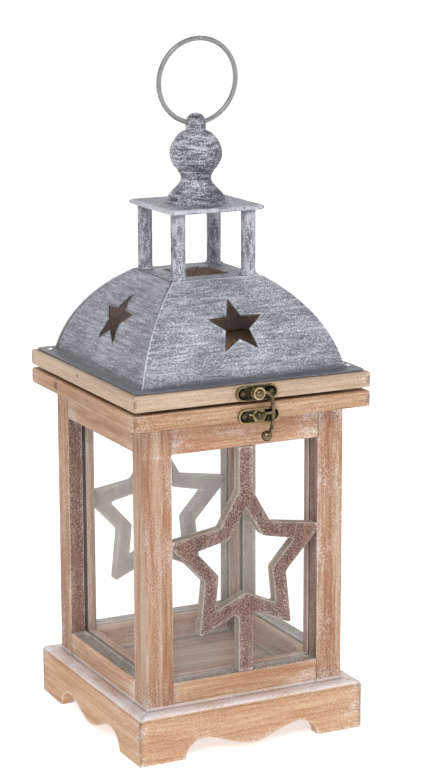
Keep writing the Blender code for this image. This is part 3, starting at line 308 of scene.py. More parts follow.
    # A broken pale line where the arris is rubbed
    reach = add(tree, "ShaderNodeMath", {0: noises["patch"], 1: 2.2 * worn}, operation="MULTIPLY")
    rubbed = add(tree, "ShaderNodeMapRange", {0: edge, 1: 0.0, 2: reach, 3: 0.7, 4: 0.0})
    wood = add(
        tree, "ShaderNodeMix", {0: rubbed, 6: wood, 7: colour(wash)}, out=2, data_type="RGBA"
    )

    # Raised fibres, sunken rings and the body of the wash
    rough = add(tree, "ShaderNodeMapRange", {0: noises["fibre"], 1: 0.3, 2: 0.7, 3: 0.54, 4: 0.76})
    relief = add(
        tree, "ShaderNodeMath", {0: late, 1: -0.4, 2: noises["fibre"]}, operation="MULTIPLY_ADD"
    )
    relief = add(tree, "ShaderNodeMath", {0: washed, 1: 0.3, 2: relief}, operation="MULTIPLY_ADD")
    coat(tree, shader, wood, rough, relief, 0.8, 0.3)
    return material


def brushed_paint(
    name, strokes, tones, brush_share=1.0, rim=0.26, reach=1.4, darker_below=None, clouds=0.3
):
    """Dark grey paint on sheet steel, crinkled a little and dry-brushed with white.

    Strokes gives the size in millimetres of a brush mark along X, Y and Z.  White catches on
    the crinkle's tops and stays off its hollows, so the eye reads aged zinc.  The crinkle
    is coarser than the real one, which is too fine to show.  A rim above 0 is rubbed nearly
    white, one below 0 is a line of painted shade along a seam; reach is its width.  The paint
    is also darker at and below a height, fading out over 3 mm above it, in the fold of the
    flange.
    """
    crinkle_share = 1.6
    material, tree, shader = start_finish(name, 0.55, 0.1)
    place = add(tree, "ShaderNodeTexCoord", out="Object")
    edge = add(tree, "ShaderNodeAttribute", out="Fac", attribute_name="edge")
    scale = tuple(1 / (size * MM) for size in strokes)
    along = add(tree, "ShaderNodeMapping", {"Vector": place, "Scale": scale})
    brush = add(
        tree,
        "ShaderNodeTexNoise",
        {"Vector": along, "Scale": 1.0, "Detail": 5.0, "Roughness": 0.7, "Distortion": 0.3},
        out="Fac",
    )
    crinkle = add(
        tree,
        "ShaderNodeTexNoise",
        {"Vector": place, "Scale": 1.45 / MM, "Detail": 2.0, "Roughness": 0.7, "Distortion": 1.2},
        out="Fac",
    )
    cloud = add(
        tree, "ShaderNodeTexNoise", {"Vector": place, "Scale": 0.04 / MM, "Detail": 3.0}, out="Fac"
    )
    mixed = add(tree, "ShaderNodeMath", {0: crinkle, 1: crinkle_share}, operation="MULTIPLY")
    mixed = add(
        tree, "ShaderNodeMath", {0: brush, 1: brush_share, 2: mixed}, operation="MULTIPLY_ADD"
    )
    mixed = add(tree, "ShaderNodeMath", {0: cloud, 1: clouds, 2: mixed}, operation="MULTIPLY_ADD")
    # A rim above 0 is rubbed nearly white; a rim below 0 is painted shade along the seam
    at_rim = add(tree, "ShaderNodeMapRange", {0: edge, 1: 0.1, 2: reach, 3: rim, 4: 0.0})
    mixed = add(tree, "ShaderNodeMath", {0: mixed, 1: at_rim}, operation="ADD")
    # Darker at and below a height, fading out over 3 mm above it, in the fold of the flange
    if darker_below:
        height = add(tree, "ShaderNodeSeparateXYZ", {0: place}, out=2)
        fold = add(
            tree,
            "ShaderNodeMapRange",
            {0: height, 1: darker_below, 2: darker_below + 3 * MM, 3: -0.24, 4: 0.0},
        )
        mixed = add(tree, "ShaderNodeMath", {0: mixed, 1: fold}, operation="ADD")
    middle = 0.5 * (brush_share + clouds + crinkle_share)
    share = add(tree, "ShaderNodeMapRange", {0: mixed, 1: middle - 0.38, 2: middle + 0.38})
    hollow, dark, pale, white = tones
    paint = add(
        tree,
        "ShaderNodeValToRGB",
        {0: share},
        stops=((0.26, hollow), (0.44, dark), (0.56, pale), (0.74, white)),
    )
    rough = add(tree, "ShaderNodeMapRange", {0: share, 1: 0.2, 2: 0.8, 3: 0.42, 4: 0.7})
    coat(tree, shader, paint, rough, share, 0.6, 0.3)
    return material


def worn_metal(name, base, rubbed, metallic, roughness, reach, patches=0.35):
    """Cast or drawn metal with a dull skin that handling rubbed bright along its edges.

    Reach is the width of the rubbed line in millimetres, patches how bright the skin's
    thin places are.
    """
    material, tree, shader = start_finish(name, roughness, metallic)
    place = add(tree, "ShaderNodeTexCoord", out="Object")
    edge = add(tree, "ShaderNodeAttribute", out="Fac", attribute_name="edge")
    cast = add(
        tree,
        "ShaderNodeTexNoise",
        {"Vector": place, "Scale": 0.3 / MM, "Detail": 4.0, "Roughness": 0.65},
        out="Fac",
    )
    width = add(tree, "ShaderNodeMath", {0: cast, 1: 2 * reach}, operation="MULTIPLY")
    bright = add(tree, "ShaderNodeMapRange", {0: edge, 1: 0.0, 2: width, 3: 1.0, 4: 0.0})
    patchy = add(tree, "ShaderNodeMapRange", {0: cast, 1: 0.3, 2: 0.7, 3: 0.0, 4: patches})
    share = add(tree, "ShaderNodeMath", {0: bright, 1: patchy}, operation="MAXIMUM")
    skin = add(
        tree,
        "ShaderNodeMix",
        {0: share, 6: colour(base), 7: colour(rubbed)},
        out=2,
        data_type="RGBA",
    )
    rough = add(
        tree,
        "ShaderNodeMapRange",
        {0: cast, 1: 0.3, 2: 0.7, 3: roughness - 0.1, 4: roughness + 0.1},
    )
    coat(tree, shader, skin, rough, cast, 0.3, 0.1)
    return material


def pane_glass(name):
    """Float glass, drawn flat and cut: nearly clear, with dust, a hard shine and a dark rim.

    The rim is a thin line of painted shade at the groove's mouth, standing in for the groove's
    shadow.
    """
    mouth = GROOVE_DEPTH / MM + 0.05
    material, tree, shader = start_finish(name, 0.04)
    place = add(tree, "ShaderNodeTexCoord", out="Object")
    edge = add(tree, "ShaderNodeAttribute", out="Fac", attribute_name="edge")
    dust = add(
        tree, "ShaderNodeTexNoise", {"Vector": place, "Scale": 0.045 / MM, "Detail": 5.0}, out="Fac"
    )
    # The rim: painted shade of the groove, darker and less clear than the rest of the pane
    rim = add(tree, "ShaderNodeMapRange", {0: edge, 1: mouth, 2: mouth + 0.15, 3: 1.0, 4: 0.0})
    tint = add(tree, "ShaderNodeValToRGB", {0: dust}, stops=((0.3, "#E4E8E6"), (0.7, "#F2F3F2")))
    tint = add(
        tree, "ShaderNodeMix", {0: rim, 6: tint, 7: colour(GROOVE_SHADE)}, out=2, data_type="RGBA"
    )
    cover = add(tree, "ShaderNodeMapRange", {0: rim, 1: 0.0, 2: 1.0, 3: 0.07, 4: 0.4})
    tree.links.new(cover, shader.inputs["Alpha"])
    rough = add(tree, "ShaderNodeMapRange", {0: dust, 1: 0.35, 2: 0.75, 3: 0.03, 4: 0.09})
    ripple = add(
        tree, "ShaderNodeTexNoise", {"Vector": place, "Scale": 0.014 / MM, "Detail": 1.0}, out="Fac"
    )
    coat(tree, shader, tint, rough, ripple, 0.08, 1.0)
    shader.inputs["IOR"].default_value = 1.52
    return material


def studio_paper(name):
    """Matt white paper on a table lit from below.  Its faint tooth is drawn coarse, to show."""
    material, tree, shader = start_finish(name, 0.9)
    place = add(tree, "ShaderNodeTexCoord", out="Object")
    tooth = add(
        tree, "ShaderNodeTexNoise", {"Vector": place, "Scale": 0.9 / MM, "Detail": 2.0}, out="Fac"
    )
    sheet = add(
        tree,
        "ShaderNodeMix",
        {0: tooth, 6: colour("#F4F4F4"), 7: colour("#FAFAFA")},
        out=2,
        data_type="RGBA",
    )
    tree.links.new(sheet, shader.inputs["Base Color"])
    tree.links.new(sheet, shader.inputs["Emission Color"])
    shader.inputs["Emission Strength"].default_value = 0.6
    return material


# The grey paint from its hollows to its white tops: painted in full light, painted in shade, on
# the flat plates, and on the turned finial.  The last row is the warm primer inside the roof
ZINC_TONES = ("#55575F", "#757780", "#96989F", "#CACCD3")
SHADED_ZINC_TONES = ("#505158", "#6F7078", "#909198", "#C6C7CE")
DARK_ZINC_TONES = ("#3B3C42", "#585A60", "#7D7F87", "#C0C2CA")
TURNED_ZINC_TONES = ("#393B42", "#52545B", "#767881", "#CBCDD5")
PRIMER_TONES = ("#8C7C77", "#A69691", "#BCAEA9", "#CEC2BD")

FINISH = {
    # Posts: planed pine, washed and wiped, with orange-brown bands under a thin milky veil
    "body": timber_finish(
        "washed_pine",
        ("#8A5D41", "#A9866C", "#B8A492"),
        "#D9CFCB",
        share=0.4,
        worn=0.42,
        ledge=LEDGE,
    ),
    # Rails: the same work on paler boards
    "rail": timber_finish(
        "washed_rail_pine",
        ("#9B6D4F", "#B69173", "#C6B099"),
        "#DCD2CC",
        share=0.4,
        worn=0.42,
        ledge=LEDGE,
    ),
    # Frame boards: sanded after the wash, so that speckled remains lie on redder wood
    "frame": timber_finish(
        "speckled_pine",
        ("#936745", "#AF8D70", "#BEA68C"),
        "#DAD0CA",
        share=0.36,
        worn=0.45,
        knots=((Vector((-80, 46, 216.5)) * MM, 3.0 * MM),),
    ),
    # Lid boards: planed and hardly washed, so they look pale, even and fine-grained
    "lid": timber_finish(
        "planed_pine",
        ("#9C836D", "#B19B86", "#BEA893"),
        "#D8CCBE",
        share=0.14,
        worn=0.35,
        ring_share=0.08,
        knots=((Vector((-80, 11, 229.5)) * MM, 1.4 * MM),),
    ),
    # Skirt: dabbed with thick wash, white at its corners and on its ledge (there partly a painted
    # highlight), warm between
    "skirt": timber_finish(
        "whitewashed_skirt_pine",
        ("#A67956", "#BA9473", "#C5A88D"),
        "#E0DADB",
        share=0.34,
        worn=0.7,
        ledge=LEDGE,
    ),
    # Fretwork: sawn, stained brown and sanded through, a fine speckle of pale on dark
    "fret": timber_finish(
        "stained_fretwork",
        ("#3E2820", "#65463B", "#8F6B58"),
        "#D3C8BE",
        share=0.5,
        worn=0.3,
        ring_share=0.06,
        sandy=1.0,
    ),
    # Its sides, left as the saw cut them: grey and hardly stained
    "fret_side": timber_finish(
        "sawn_fretwork_sides",
        ("#796B5D", "#978877", "#AFA292"),
        "#D8D1C7",
        share=0.5,
        worn=0.45,
        ring_share=0.06,
        sandy=0.7,
    ),
    # Sides of the window openings: darker tones as painted shade, since they lie in the openings'
    # shadow, then caught here and there by the brush
    "reveal": timber_finish(
        "shaded_reveal_pine",
        ("#5E4336", "#7E6052", "#997C6C"),
        "#CEC4BC",
        share=0.42,
        worn=0.5,
        ring_share=0.06,
        sandy=0.4,
    ),
    # Faces of the rails in the openings, where the wash settled in a grey film
    "sill": timber_finish(
        "settled_wash_sill_pine",
        ("#6A5A50", "#8C7C71", "#A79A8F"),
        "#DAD4CE",
        share=0.56,
        worn=0.6,
        ring_share=0.06,
        sandy=0.7,
    ),
    # Floor board inside: planed and left plain, so warm and a little dusty
    "floor": timber_finish(
        "plain_floor_pine", ("#A18067", "#C1A287", "#D3B9A1"), "#C8B6A4", share=0.1, worn=0.4
    ),
    # Roof panels, brushed level: their marks run along X in front and along Y at the sides
    "sheet_x": brushed_paint(
        "brushed_zinc_paint_x", (18, 1.8, 1.8), ZINC_TONES, 0.8, 0.3, 0.8, FLANGE_TOP
    ),
    # The side panels take the tones painted for shade, with a line of painted shade along their
    # seams
    "sheet_y": brushed_paint(
        "brushed_zinc_paint_y", (1.8, 18, 1.8), SHADED_ZINC_TONES, 0.75, -0.35, 0.9, FLANGE_TOP
    ),
    # The same paint: dabbed on the flat tops, down the columns, and round the turning
    "plate": brushed_paint(
        "brushed_zinc_paint_plates", (8, 1.6, 3), DARK_ZINC_TONES, 1.2, 0.2, 0.8
    ),
    # The columns take the tones painted for shade
    "column": brushed_paint("brushed_zinc_paint_columns", (2.2, 2.2, 9), SHADED_ZINC_TONES, 1.3),
    "turning": brushed_paint(
        "brushed_zinc_paint_turning", (10, 10, 1.7), TURNED_ZINC_TONES, 1.3, clouds=0.6
    ),
    # Inside of the roof: sprayed with primer and smoked, so warm grey with soft clouds
    "lining": brushed_paint("smoked_roof_primer", (6, 6, 6), PRIMER_TONES, 0.5, 0.1),
    # Ring: drawn steel wire with a dull grey skin
    "wire": worn_metal("dull_drawn_wire", "#7A7979", "#ACABA9", 0.6, 0.4, 0.3),
    # Hinges and nails: zinc plated steel, bright with a milky bloom
    "plated": worn_metal("bright_zinc_plate", "#D2D2D0", "#F0F0EE", 0.6, 0.32, 0.2),
    # Latch plates: die-cast, plated antique bronze, nearly black with rims rubbed to brass
    "bronze": worn_metal("antique_bronze_plate", "#150F0A", "#A08C64", 0.8, 0.28, 0.17, 0.12),
    # Hook and rivet: the same plating, worn brighter by fingers
    "hook": worn_metal("rubbed_bronze_hook", "#453726", "#BCA880", 0.9, 0.24, 0.5),
    "glass": pane_glass("float_glass"),
    "paper": studio_paper("studio_paper"),
}


# Turning a node's loose triangles into a finished piece

# The fretwork was washed before it was put in, so its ends are like the rest of it
CLEAR_OF_ENDS = 25.0
FAR_FROM_EDGE = 20 * MM
WELD = 0.002 * MM
MITRE_WIDTH = 0.4 * MM


def points_of(data):
    """The points of a mesh, one row each."""
    points = np.empty(len(data.vertices) * 3)
    data.vertices.foreach_get("co", points)
    return points.reshape(-1, 3)


def store(data, name, values):
    """Keep a number, or a vector, with every point of a mesh."""
    kind, key = ("FLOAT", "value") if values.ndim == 1 else ("FLOAT_VECTOR", "vector")
    layer = data.attributes.new(name, kind, "POINT")
    layer.data.foreach_set(key, values.astype(np.float32).ravel())


def is_convex(edge, sharp):
    """Whether an edge stands out, and is sharper than so many degrees."""
    return len(edge.link_faces) == 2 and edge.calc_face_angle_signed(0) > radians(sharp)


def line_of(edge):
    """The two ends of an edge."""
    return tuple(np.array(vert.co) for vert in edge.verts)


def nearest_edge(points, lines):
    """Distance from each point to the nearest of the lines."""
    best = np.full(len(points), FAR_FROM_EDGE)
    for start, end in lines:
        span = end - start
        share = np.clip(((points - start) @ span) / max(span @ span, 1e-18), 0, 1)
        foot = start + share[:, None] * span
        best = np.minimum(best, np.linalg.norm(points - foot, axis=1))
    return best


def slice_across(shape, axis, level):
    """Cut a bmesh by the plane that stands across an axis at a level."""
    normal = Vector([float(index == axis) for index in range(3)])
    bmesh.ops.bisect_plane(
        shape,
        geom=[*shape.verts, *shape.edges, *shape.faces],
        dist=WELD / 2,
        plane_co=normal * level,
        plane_no=normal,
    )


def on_mitre(edge):
    """Whether an edge lies in the joint between two mitred boards."""
    for vert in edge.verts:
        spot = vert.co - AXIS
        if abs(abs(spot.x) - abs(spot.y)) > MITRE_WIDTH:
            return False
    return True


def at_rail_end(edge, low, high):
    """Whether an edge of a rail lies in its joint with a post."""
    long = 0 if high[0] - low[0] > high[1] - low[1] else 1
    for end in (low[long], high[long]):
        if all(abs(vert.co[long] - end) < 0.05 * MM for vert in edge.verts):
            return True
    return False


def beside_window(node, lines):
    """A post's arris lines, of which those beside a rail stop at the window opening."""
    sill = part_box("bottom_rail_front")[1][2]
    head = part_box("top_rail_front")[0][2]
    middle = np.array(piece_centre(node))
    outward = np.sign(middle - np.array(AXIS))
    kept = []
    for start, end in lines:
        on_corner = np.all(((start - middle) * outward)[:2] > 0)
        if not on_corner:
            start, end = start.copy(), end.copy()
            start[2], end[2] = (min(max(level, sill), head) for level in (start[2], end[2]))
        kept.append((start, end))
    return kept


def skinned(node, arris=0.0, grid=None, sharp=35):
    """A node's surface as one bmesh with its convex edges rounded, and where these were.

    Arris is the width of the rounding and grid the longest stretch without a point, both in
    millimetres.  The mitred corners, glued and sanded flush, stay crisp.
    """
    shape = bmesh.new()
    shape.from_mesh(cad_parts[node].data)
    bmesh.ops.remove_doubles(shape, verts=shape.verts, dist=WELD)
    bmesh.ops.dissolve_limit(
        shape, angle_limit=radians(0.5), verts=shape.verts, edges=shape.edges
    )
    low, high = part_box(node)
    hard = []
    for edge in shape.edges:
        flush = on_mitre(edge) or ("_rail_" in node and at_rail_end(edge, low, high))
        if is_convex(edge, sharp) and not flush:
            hard.append(edge)
    lines = [line_of(edge) for edge in hard]
    if node.startswith("post"):
        lines = beside_window(node, lines)
    if arris:
        bmesh.ops.bevel(
            shape,
            geom=hard,
            offset=arris * MM,
            offset_type="OFFSET",
            segments=2,
            profile=0.5,
            affect="EDGES",
            clamp_overlap=True,
        )
    if grid:
        for axis in range(3):
            count = int((high[axis] - low[axis]) / (grid * MM))
            for step in range(1, count + 1):
                level = low[axis] + (high[axis] - low[axis]) * step / (count + 1)
                slice_across(shape, axis, level)
    bmesh.ops.triangulate(shape, faces=shape.faces)
    return shape, lines


def set_in_scene(name, data, body, nodes):
    """A finished piece in place of its nodes, riding on its body."""
    piece = bpy.data.objects.new(name, data)
    bpy.context.scene.collection.objects.link(piece)
    if nodes:
        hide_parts(*nodes)
    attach(piece, body)
    return piece


def to_piece(name, shape, lines, finish, body, *nodes):
    """A piece from a bmesh, with its distance to the nearest arris in millimetres."""
    data = bpy.data.meshes.new(name)
    shape.to_mesh(data)
    shape.free()
    store(data, "edge", nearest_edge(points_of(data), lines) / MM)
    data.materials.append(FINISH[finish])
    return set_in_scene(name, data, body, nodes)


def level_side(inward, face):
    """Whether a face of a rail looks up or down into a window opening, outside its pane."""
    spot = face.center - AXIS
    return abs(face.normal.z) > 0.5 and max(abs(spot.x), abs(spot.y)) > PANE_MIDDLE


def window_side(inward, face):
    """Whether a face of a post looks into a window opening, outside its pane."""
    spot = face.center - AXIS
    across = face.normal.x * inward.x > 0.5 * abs(inward.x) and abs(spot.y) > PANE_MIDDLE
    deep = face.normal.y * inward.y > 0.5 * abs(inward.y) and abs(spot.x) > PANE_MIDDLE
    return across or deep


def sawn_side(inward, face):
    """Whether a face of the fretwork looks to the side, or at the pane of the back window."""
    return abs(face.normal.y) < 0.5 or inward.y < 0 and face.normal.y < 0


def board(
    node, finish, body, along, arris=0.5, grid=4.0, pith=(25.0, 40.0), second=None, picks=None
):
    """A wooden board with rounded arrises; along is the axis that its grain follows.

    Pith is how far across and through the board the heart of the tree lay, in millimetres.
    Second is another finish for the faces that the rule picks.
    """
    shape, lines = skinned(node, arris, grid)
    piece = to_piece(f"{node}_wood", shape, lines, finish, body, node)
    data = piece.data
    local = (points_of(data) - np.array(piece_centre(node))) / MM
    order = {"x": (0, 1, 2), "y": (1, 0, 2), "z": (2, 0, 1)}[along]
    local = local[:, order]
    ends = np.abs(local[:, 0]).max() - np.abs(local[:, 0])
    if node.startswith("star"):
        ends += CLEAR_OF_ENDS
    store(data, "end", ends)
    # Each board comes from a place of its own in the tree
    seed = sum(ord(letter) * (index + 3) for index, letter in enumerate(node))
    local += np.array((97.0 * (seed % 13), pith[0] + seed % 7, pith[1] + seed % 11))
    store(data, "timber", local)
    if second:
        data.materials.append(FINISH[second])
        inward = AXIS - piece_centre(node)
        for face in data.polygons:
            face.material_index = int(picks(inward, face))
    data.shade_smooth()
    weighted = piece.modifiers.new("arris shading", "WEIGHTED_NORMAL")
    weighted.weight = 80


def metalwork(node, finish, body, arris=0.15, sharp=35):
    """A small metal part with its edges just broken and its round faces smooth."""
    shape, lines = skinned(node, arris, None, sharp)
    piece = to_piece(f"{node}_metal", shape, lines, finish, body, node)
    piece.data.shade_smooth()
    piece.data.set_sharp_from_angle(angle=radians(sharp))
    return piece


# Wooden pieces


for side in SIDES:
    along = "x" if side in ("front", "back") else "y"
    board(f"skirt_{side}", "skirt", "base", along, 0.6)
    sills = {"second": "sill", "picks": level_side}
    board(f"bottom_rail_{side}", "rail", "base", along, 0.4, **sills)
    board(f"top_rail_{side}", "rail", "base", along, 0.4, pith=(34.0, 22.0), **sills)
    board(f"frame_board_{side}", "frame", "base", along, 0.4, pith=(18.0, 46.0))
    board(f"lid_board_{side}", "lid", "lid", along, 0.4, pith=(30.0, 60.0))
for corner in ("front_left", "front_right", "back_left", "back_right"):
    # The posts' faces in the window openings take the reveal finish, which is painted shade
    board(f"post_{corner}", "body", "base", "z", 0.5, 4.0, (28.0, 30.0), "reveal", window_side)
board("floor_board", "floor", "base", "x", 0.4, 6.0)
for side in ("front", "back"):
    board(f"star_{side}", "fret", "base", "z", 0.35, 2.5, (40.0, 30.0), "fret_side", sawn_side)


# Roof panels: the bend is shaded true to its arc


def roof_circles():
    """Centres of the dome's arc and of its foot's fillet, as distance out and height.

    Heights are over the flange.  The dome's arc runs from the ledge to the deck's edge.
    """
    foot = Vector((FLANGE_SIDE / 2 - FLANGE_LEDGE, 0))
    top = Vector((DECK_SIDE / 2, DOME_RISE))
    chord = top - foot
    outward = Vector((chord.y, -chord.x)).normalized()
    dome = (foot + top) / 2 - outward * sqrt(DOME_RADIUS**2 - (chord.length / 2) ** 2)
    across = sqrt((DOME_RADIUS + FLANGE_FILLET) ** 2 - (FLANGE_FILLET - dome.y) ** 2)
    return dome, Vector((dome.x + across, FLANGE_FILLET))


DOME, FILLET = roof_circles()
MEETING_HEIGHT = DOME.y + (FILLET.y - DOME.y) * DOME_RADIUS / (DOME_RADIUS + FLANGE_FILLET)


def roof_normal(point, quarter):
    """The sheet's true normal at a point of the panel that is so many quarter turns round."""
    turn = Matrix.Rotation(quarter * pi / 2, 3, "Z")
    local = turn.inverted() @ (point - AXIS)
    out, height = -local.y, local.z - FLANGE_TOP
    if height > MEETING_HEIGHT:
        slope = Vector((out, height)) - DOME
    elif out < FILLET.x:
        slope = FILLET - Vector((out, height))
    else:
        slope = Vector((0, 1))
    slope.normalize()
    return turn @ Vector((0, -slope.x, slope.y))


def roof_panel(side, quarter):
    """One bent panel, its outside painted and its inside primed."""
    node = f"roof_panel_{side}"
    shape, lines = skinned(node, 0.12, 4.0)
    lines = [line for line in lines if max(line[0][2], line[1][2]) > FLANGE_TOP + 0.2 * MM]
    finish = "sheet_x" if side in ("front", "back") else "sheet_y"
    piece = to_piece(f"{node}_sheet", shape, lines, finish, "lid", node)
    data = piece.data
    data.materials.append(FINISH["lining"])
    data.shade_smooth()
    normals = []
    for face in data.polygons:
        for corner in face.loop_indices:
            true = roof_normal(data.vertices[data.loops[corner].vertex_index].co, quarter)
            lean = true.dot(face.normal)
            if lean > 0.9:
                normals.append(true)
            elif lean < -0.9:
                normals.append(-true)
                face.material_index = 1
            else:
                normals.append(face.normal.copy())
    data.normals_split_custom_set(normals)


for quarter, side in enumerate(SIDES):
    roof_panel(side, quarter)


# Other metalwork


deck = metalwork("roof_deck", "plate", "lid")
deck.data.materials.append(FINISH["lining"])
for face in deck.data.polygons:
    face.material_index = int(face.normal.z < -0.5)
metalwork("canopy_plate", "plate", "lid", 0.1)
for depth in ("front", "back"):
    for hand in ("left", "right"):
        metalwork(f"column_{depth}_{hand}", "column", "lid", 0)
metalwork("ring_handle", "wire", "ring", 0, 60)
metalwork("latch_plate", "bronze", "lid", 0.12)
metalwork("keeper_plate", "bronze", "base", 0.12)
metalwork("latch_rivet", "hook", "lid", 0.1)
metalwork("keeper_peg", "bronze", "base", 0.15)
metalwork("latch_hook", "hook", "hook", 0.15, 50)
for hand in ("left", "right"):
    metalwork(f"hinge_leaf_upper_{hand}", "plated", "lid", 0.05)
    metalwork(f"hinge_leaf_lower_{hand}", "plated", "base", 0.05)
    metalwork(f"hinge_pin_{hand}", "plated", "base", 0.1)


RIM_CUT = GROOVE_DEPTH + 1.2 * MM


def glass_pane(side):
    """A pane cut once along each upright edge, so its outer rim can carry its line of painted
    shade.
    """
    node = f"glass_{side}"
    shape, lines = skinned(node)
    outward = (piece_centre(node) - AXIS).to_2d()
    outer = outward.length
    outward.normalize()
    shown = []
    for start, end in lines:
        upright = abs(start[2] - end[2]) > 10 * MM
        if upright and Vector(start - np.array(AXIS)).to_2d().dot(outward) > outer:
            shown.append((start, end))
    across = 0 if side in ("front", "back") else 1
    low, high = (corner[across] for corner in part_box(node))
    for level in (low + RIM_CUT, high - RIM_CUT):
        slice_across(shape, across, level)
    to_piece(f"{node}_pane", shape, shown, "glass", "base", node)


for side in SIDES:
    glass_pane(side)


# Geometry Nodes: a tree with named sizes, and a piece grown from it


def size_tree(name, sizes):
    """A tree with geometry in and out, and an input for each size and for the finish."""
    tree = bpy.data.node_groups.new(name, "GeometryNodeTree")
    tree.interface.new_socket(name="Geometry", in_out="OUTPUT", socket_type="NodeSocketGeometry")
    for size, kind in {"Geometry": "Geometry", **sizes, "Finish": "Material"}.items():
        tree.interface.new_socket(name=size, in_out="INPUT", socket_type=f"NodeSocket{kind}")
    return tree, add(tree, "NodeGroupInput", out=None)


def close_tree(tree, given, geometry):
    """End the tree in plain geometry with its material."""
    real = add(tree, "GeometryNodeRealizeInstances", {0: geometry})
    painted = add(tree, "GeometryNodeSetMaterial", {0: real, "Material": given.outputs["Finish"]})
    add(tree, "NodeGroupOutput", {0: painted}, out=None)
    return tree


def grown(name, tree, start, values, body, sharp=40, nodes=()):
    """Run a tree on starting data and keep the result as a plain mesh on a body."""
    seedling = bpy.data.objects.new(name + "_start", start)
    bpy.context.scene.collection.objects.link(seedling)
    growth = seedling.modifiers.new("growth", "NODES")
    growth.node_group = tree
    for item in tree.interface.items_tree:
        if item.in_out == "INPUT" and item.name in values:
            growth[item.identifier] = values[item.name]
    graph = bpy.context.evaluated_depsgraph_get()
    data = bpy.data.meshes.new_from_object(seedling.evaluated_get(graph))
    bpy.data.objects.remove(seedling)
    data.name = name
    shape = bmesh.new()
    shape.from_mesh(data)
    bmesh.ops.remove_doubles(shape, verts=shape.verts, dist=WELD)
    bmesh.ops.dissolve_degenerate(shape, edges=shape.edges, dist=WELD)
    bmesh.ops.recalc_face_normals(shape, faces=shape.faces)
    lines = [line_of(edge) for edge in shape.edges if is_convex(edge, sharp)]
    shape.to_mesh(data)
    shape.free()
    data.validate()
    store(data, "edge", nearest_edge(points_of(data), lines) / MM)
    data.shade_smooth()
    data.set_sharp_from_angle(angle=radians(sharp))
    return set_in_scene(name, data, body, nodes)


HEAD_SIZES = ("Head Radius", "Head Height", "Slot Length", "Slot Width")


def domed_head_tree():
    """A domed head with crossed slots on every vertex, pointing as the vertex says.

    The slots are cut in a dome of radius 1, which is then scaled, so their length and
    width are shares of the head's radius.
    """
    tree, given = size_tree("domed heads", dict.fromkeys(HEAD_SIZES, "Float"))
    dome = add(tree, "GeometryNodeMeshUVSphere", {"Segments": 28, "Rings": 14, "Radius": 1.0})
    radius, height, length, width = (given.outputs[size] for size in HEAD_SIZES)
    stretch = add(tree, "ShaderNodeCombineXYZ", {0: radius, 1: radius, 2: height})
    slots = []
    for first, second in ((length, width), (width, length)):
        size = add(tree, "ShaderNodeCombineXYZ", {0: first, 1: second, 2: 1.0})
        bar = add(tree, "GeometryNodeMeshCube", {"Size": size})
        slots.append(add(tree, "GeometryNodeTransform", {0: bar, "Translation": (0.0, 0.0, 1.0)}))
    cut = add(tree, "GeometryNodeMeshBoolean", {0: dome}, out=None, operation="DIFFERENCE")
    for slot in slots:
        tree.links.new(slot, cut.inputs[1])
    head = add(tree, "GeometryNodeTransform", {0: cut.outputs[0], "Scale": stretch})
    facing = add(
        tree, "GeometryNodeInputNamedAttribute", {"Name": "facing"}, data_type="FLOAT_VECTOR"
    )
    turn = add(tree, "FunctionNodeAlignRotationToVector", {"Vector": facing}, axis="Z")
    heads = add(
        tree,
        "GeometryNodeInstanceOnPoints",
        {"Points": given.outputs["Geometry"], "Instance": head, "Rotation": turn},
    )
    return close_tree(tree, given, heads)


HEADS = domed_head_tree()


def set_heads(name, places, facing, head, slot, finish, body, nodes=()):
    """Domed heads at places; head is (radius, height), and slot (length, width) in radii."""
    start = bpy.data.meshes.new("places")
    start.from_pydata(places, [], [])
    store(start, "facing", np.array([facing] * len(places)))
    values = dict(zip(HEAD_SIZES, (*head, *slot)), Finish=FINISH[finish])
    grown(name, HEADS, start, values, body, nodes=nodes)


# Radius and height of the heads
PLATE_SCREW_HEAD = (2.3 * MM, 0.75 * MM)
NAIL_HEAD = (1.7 * MM, 0.85 * MM)
HINGE_SCREW_HEAD = (1.4 * MM, 0.3 * MM)

for plate, body in (("latch", "lid"), ("keeper", "base")):
    names = [f"{plate}_screw_{hand}" for hand in ("left", "right")]
    places = []
    for name in names:
        middle = piece_centre(name)
        places.append((middle.x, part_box(name)[0][1] + PLATE_SCREW_HEAD[1], middle.z))
    name = f"{plate}_screw_heads"
    set_heads(name, places, (0, -1, 0), PLATE_SCREW_HEAD, (1.22, 0.22), "bronze", body, names)

# The roof nails' slots are no more than the mark of the hammer
names = ["roof_nail_left", "roof_nail_right"]
places = []
for name in names:
    middle = piece_centre(name)
    places.append((middle.x, middle.y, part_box(name)[1][2] - NAIL_HEAD[1]))
set_heads("roof_nail_heads", places, (0, 0, 1), NAIL_HEAD, (0.35, 0.24), "plated", "lid", names)

# The hinge screws lie sunk in the leaves: those of the lower leaves face up, the others down
for part, body, up in (("lower", "base", 1), ("upper", "lid", -1)):
    places = []
    for hand in ("left", "right"):
        low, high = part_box(f"hinge_leaf_{part}_{hand}")
        middle = (low[0] + high[0]) / 2
        level = low[2] + HINGE_SCREW_HEAD[1] if up > 0 else high[2] - HINGE_SCREW_HEAD[1]
        for side in (-1, 1):
            places.append((middle + side * HINGE_SCREW_SPACING / 2, HINGE_SCREW_LINE, level))
    name = f"hinge_screw_heads_{part}"
    set_heads(name, places, (0, 0, up), HINGE_SCREW_HEAD, (1.22, 0.25), "plated", body)


def swept_bead_tree():
    """A round bead swept along every line of a curve, in eight sides."""
    tree, given = size_tree("swept bead", {"Bead Radius": "Float"})
    round_section = add(
        tree,
        "GeometryNodeCurvePrimitiveCircle",
        {"Resolution": 8, "Radius": given.outputs["Bead Radius"]},
    )
    swept = add(
        tree,
        "GeometryNodeCurveToMesh",
        {"Curve": given.outputs["Geometry"], "Profile Curve": round_section, "Fill Caps": True},
    )
    return close_tree(tree, given, swept)


SWEPT = swept_bead_tree()


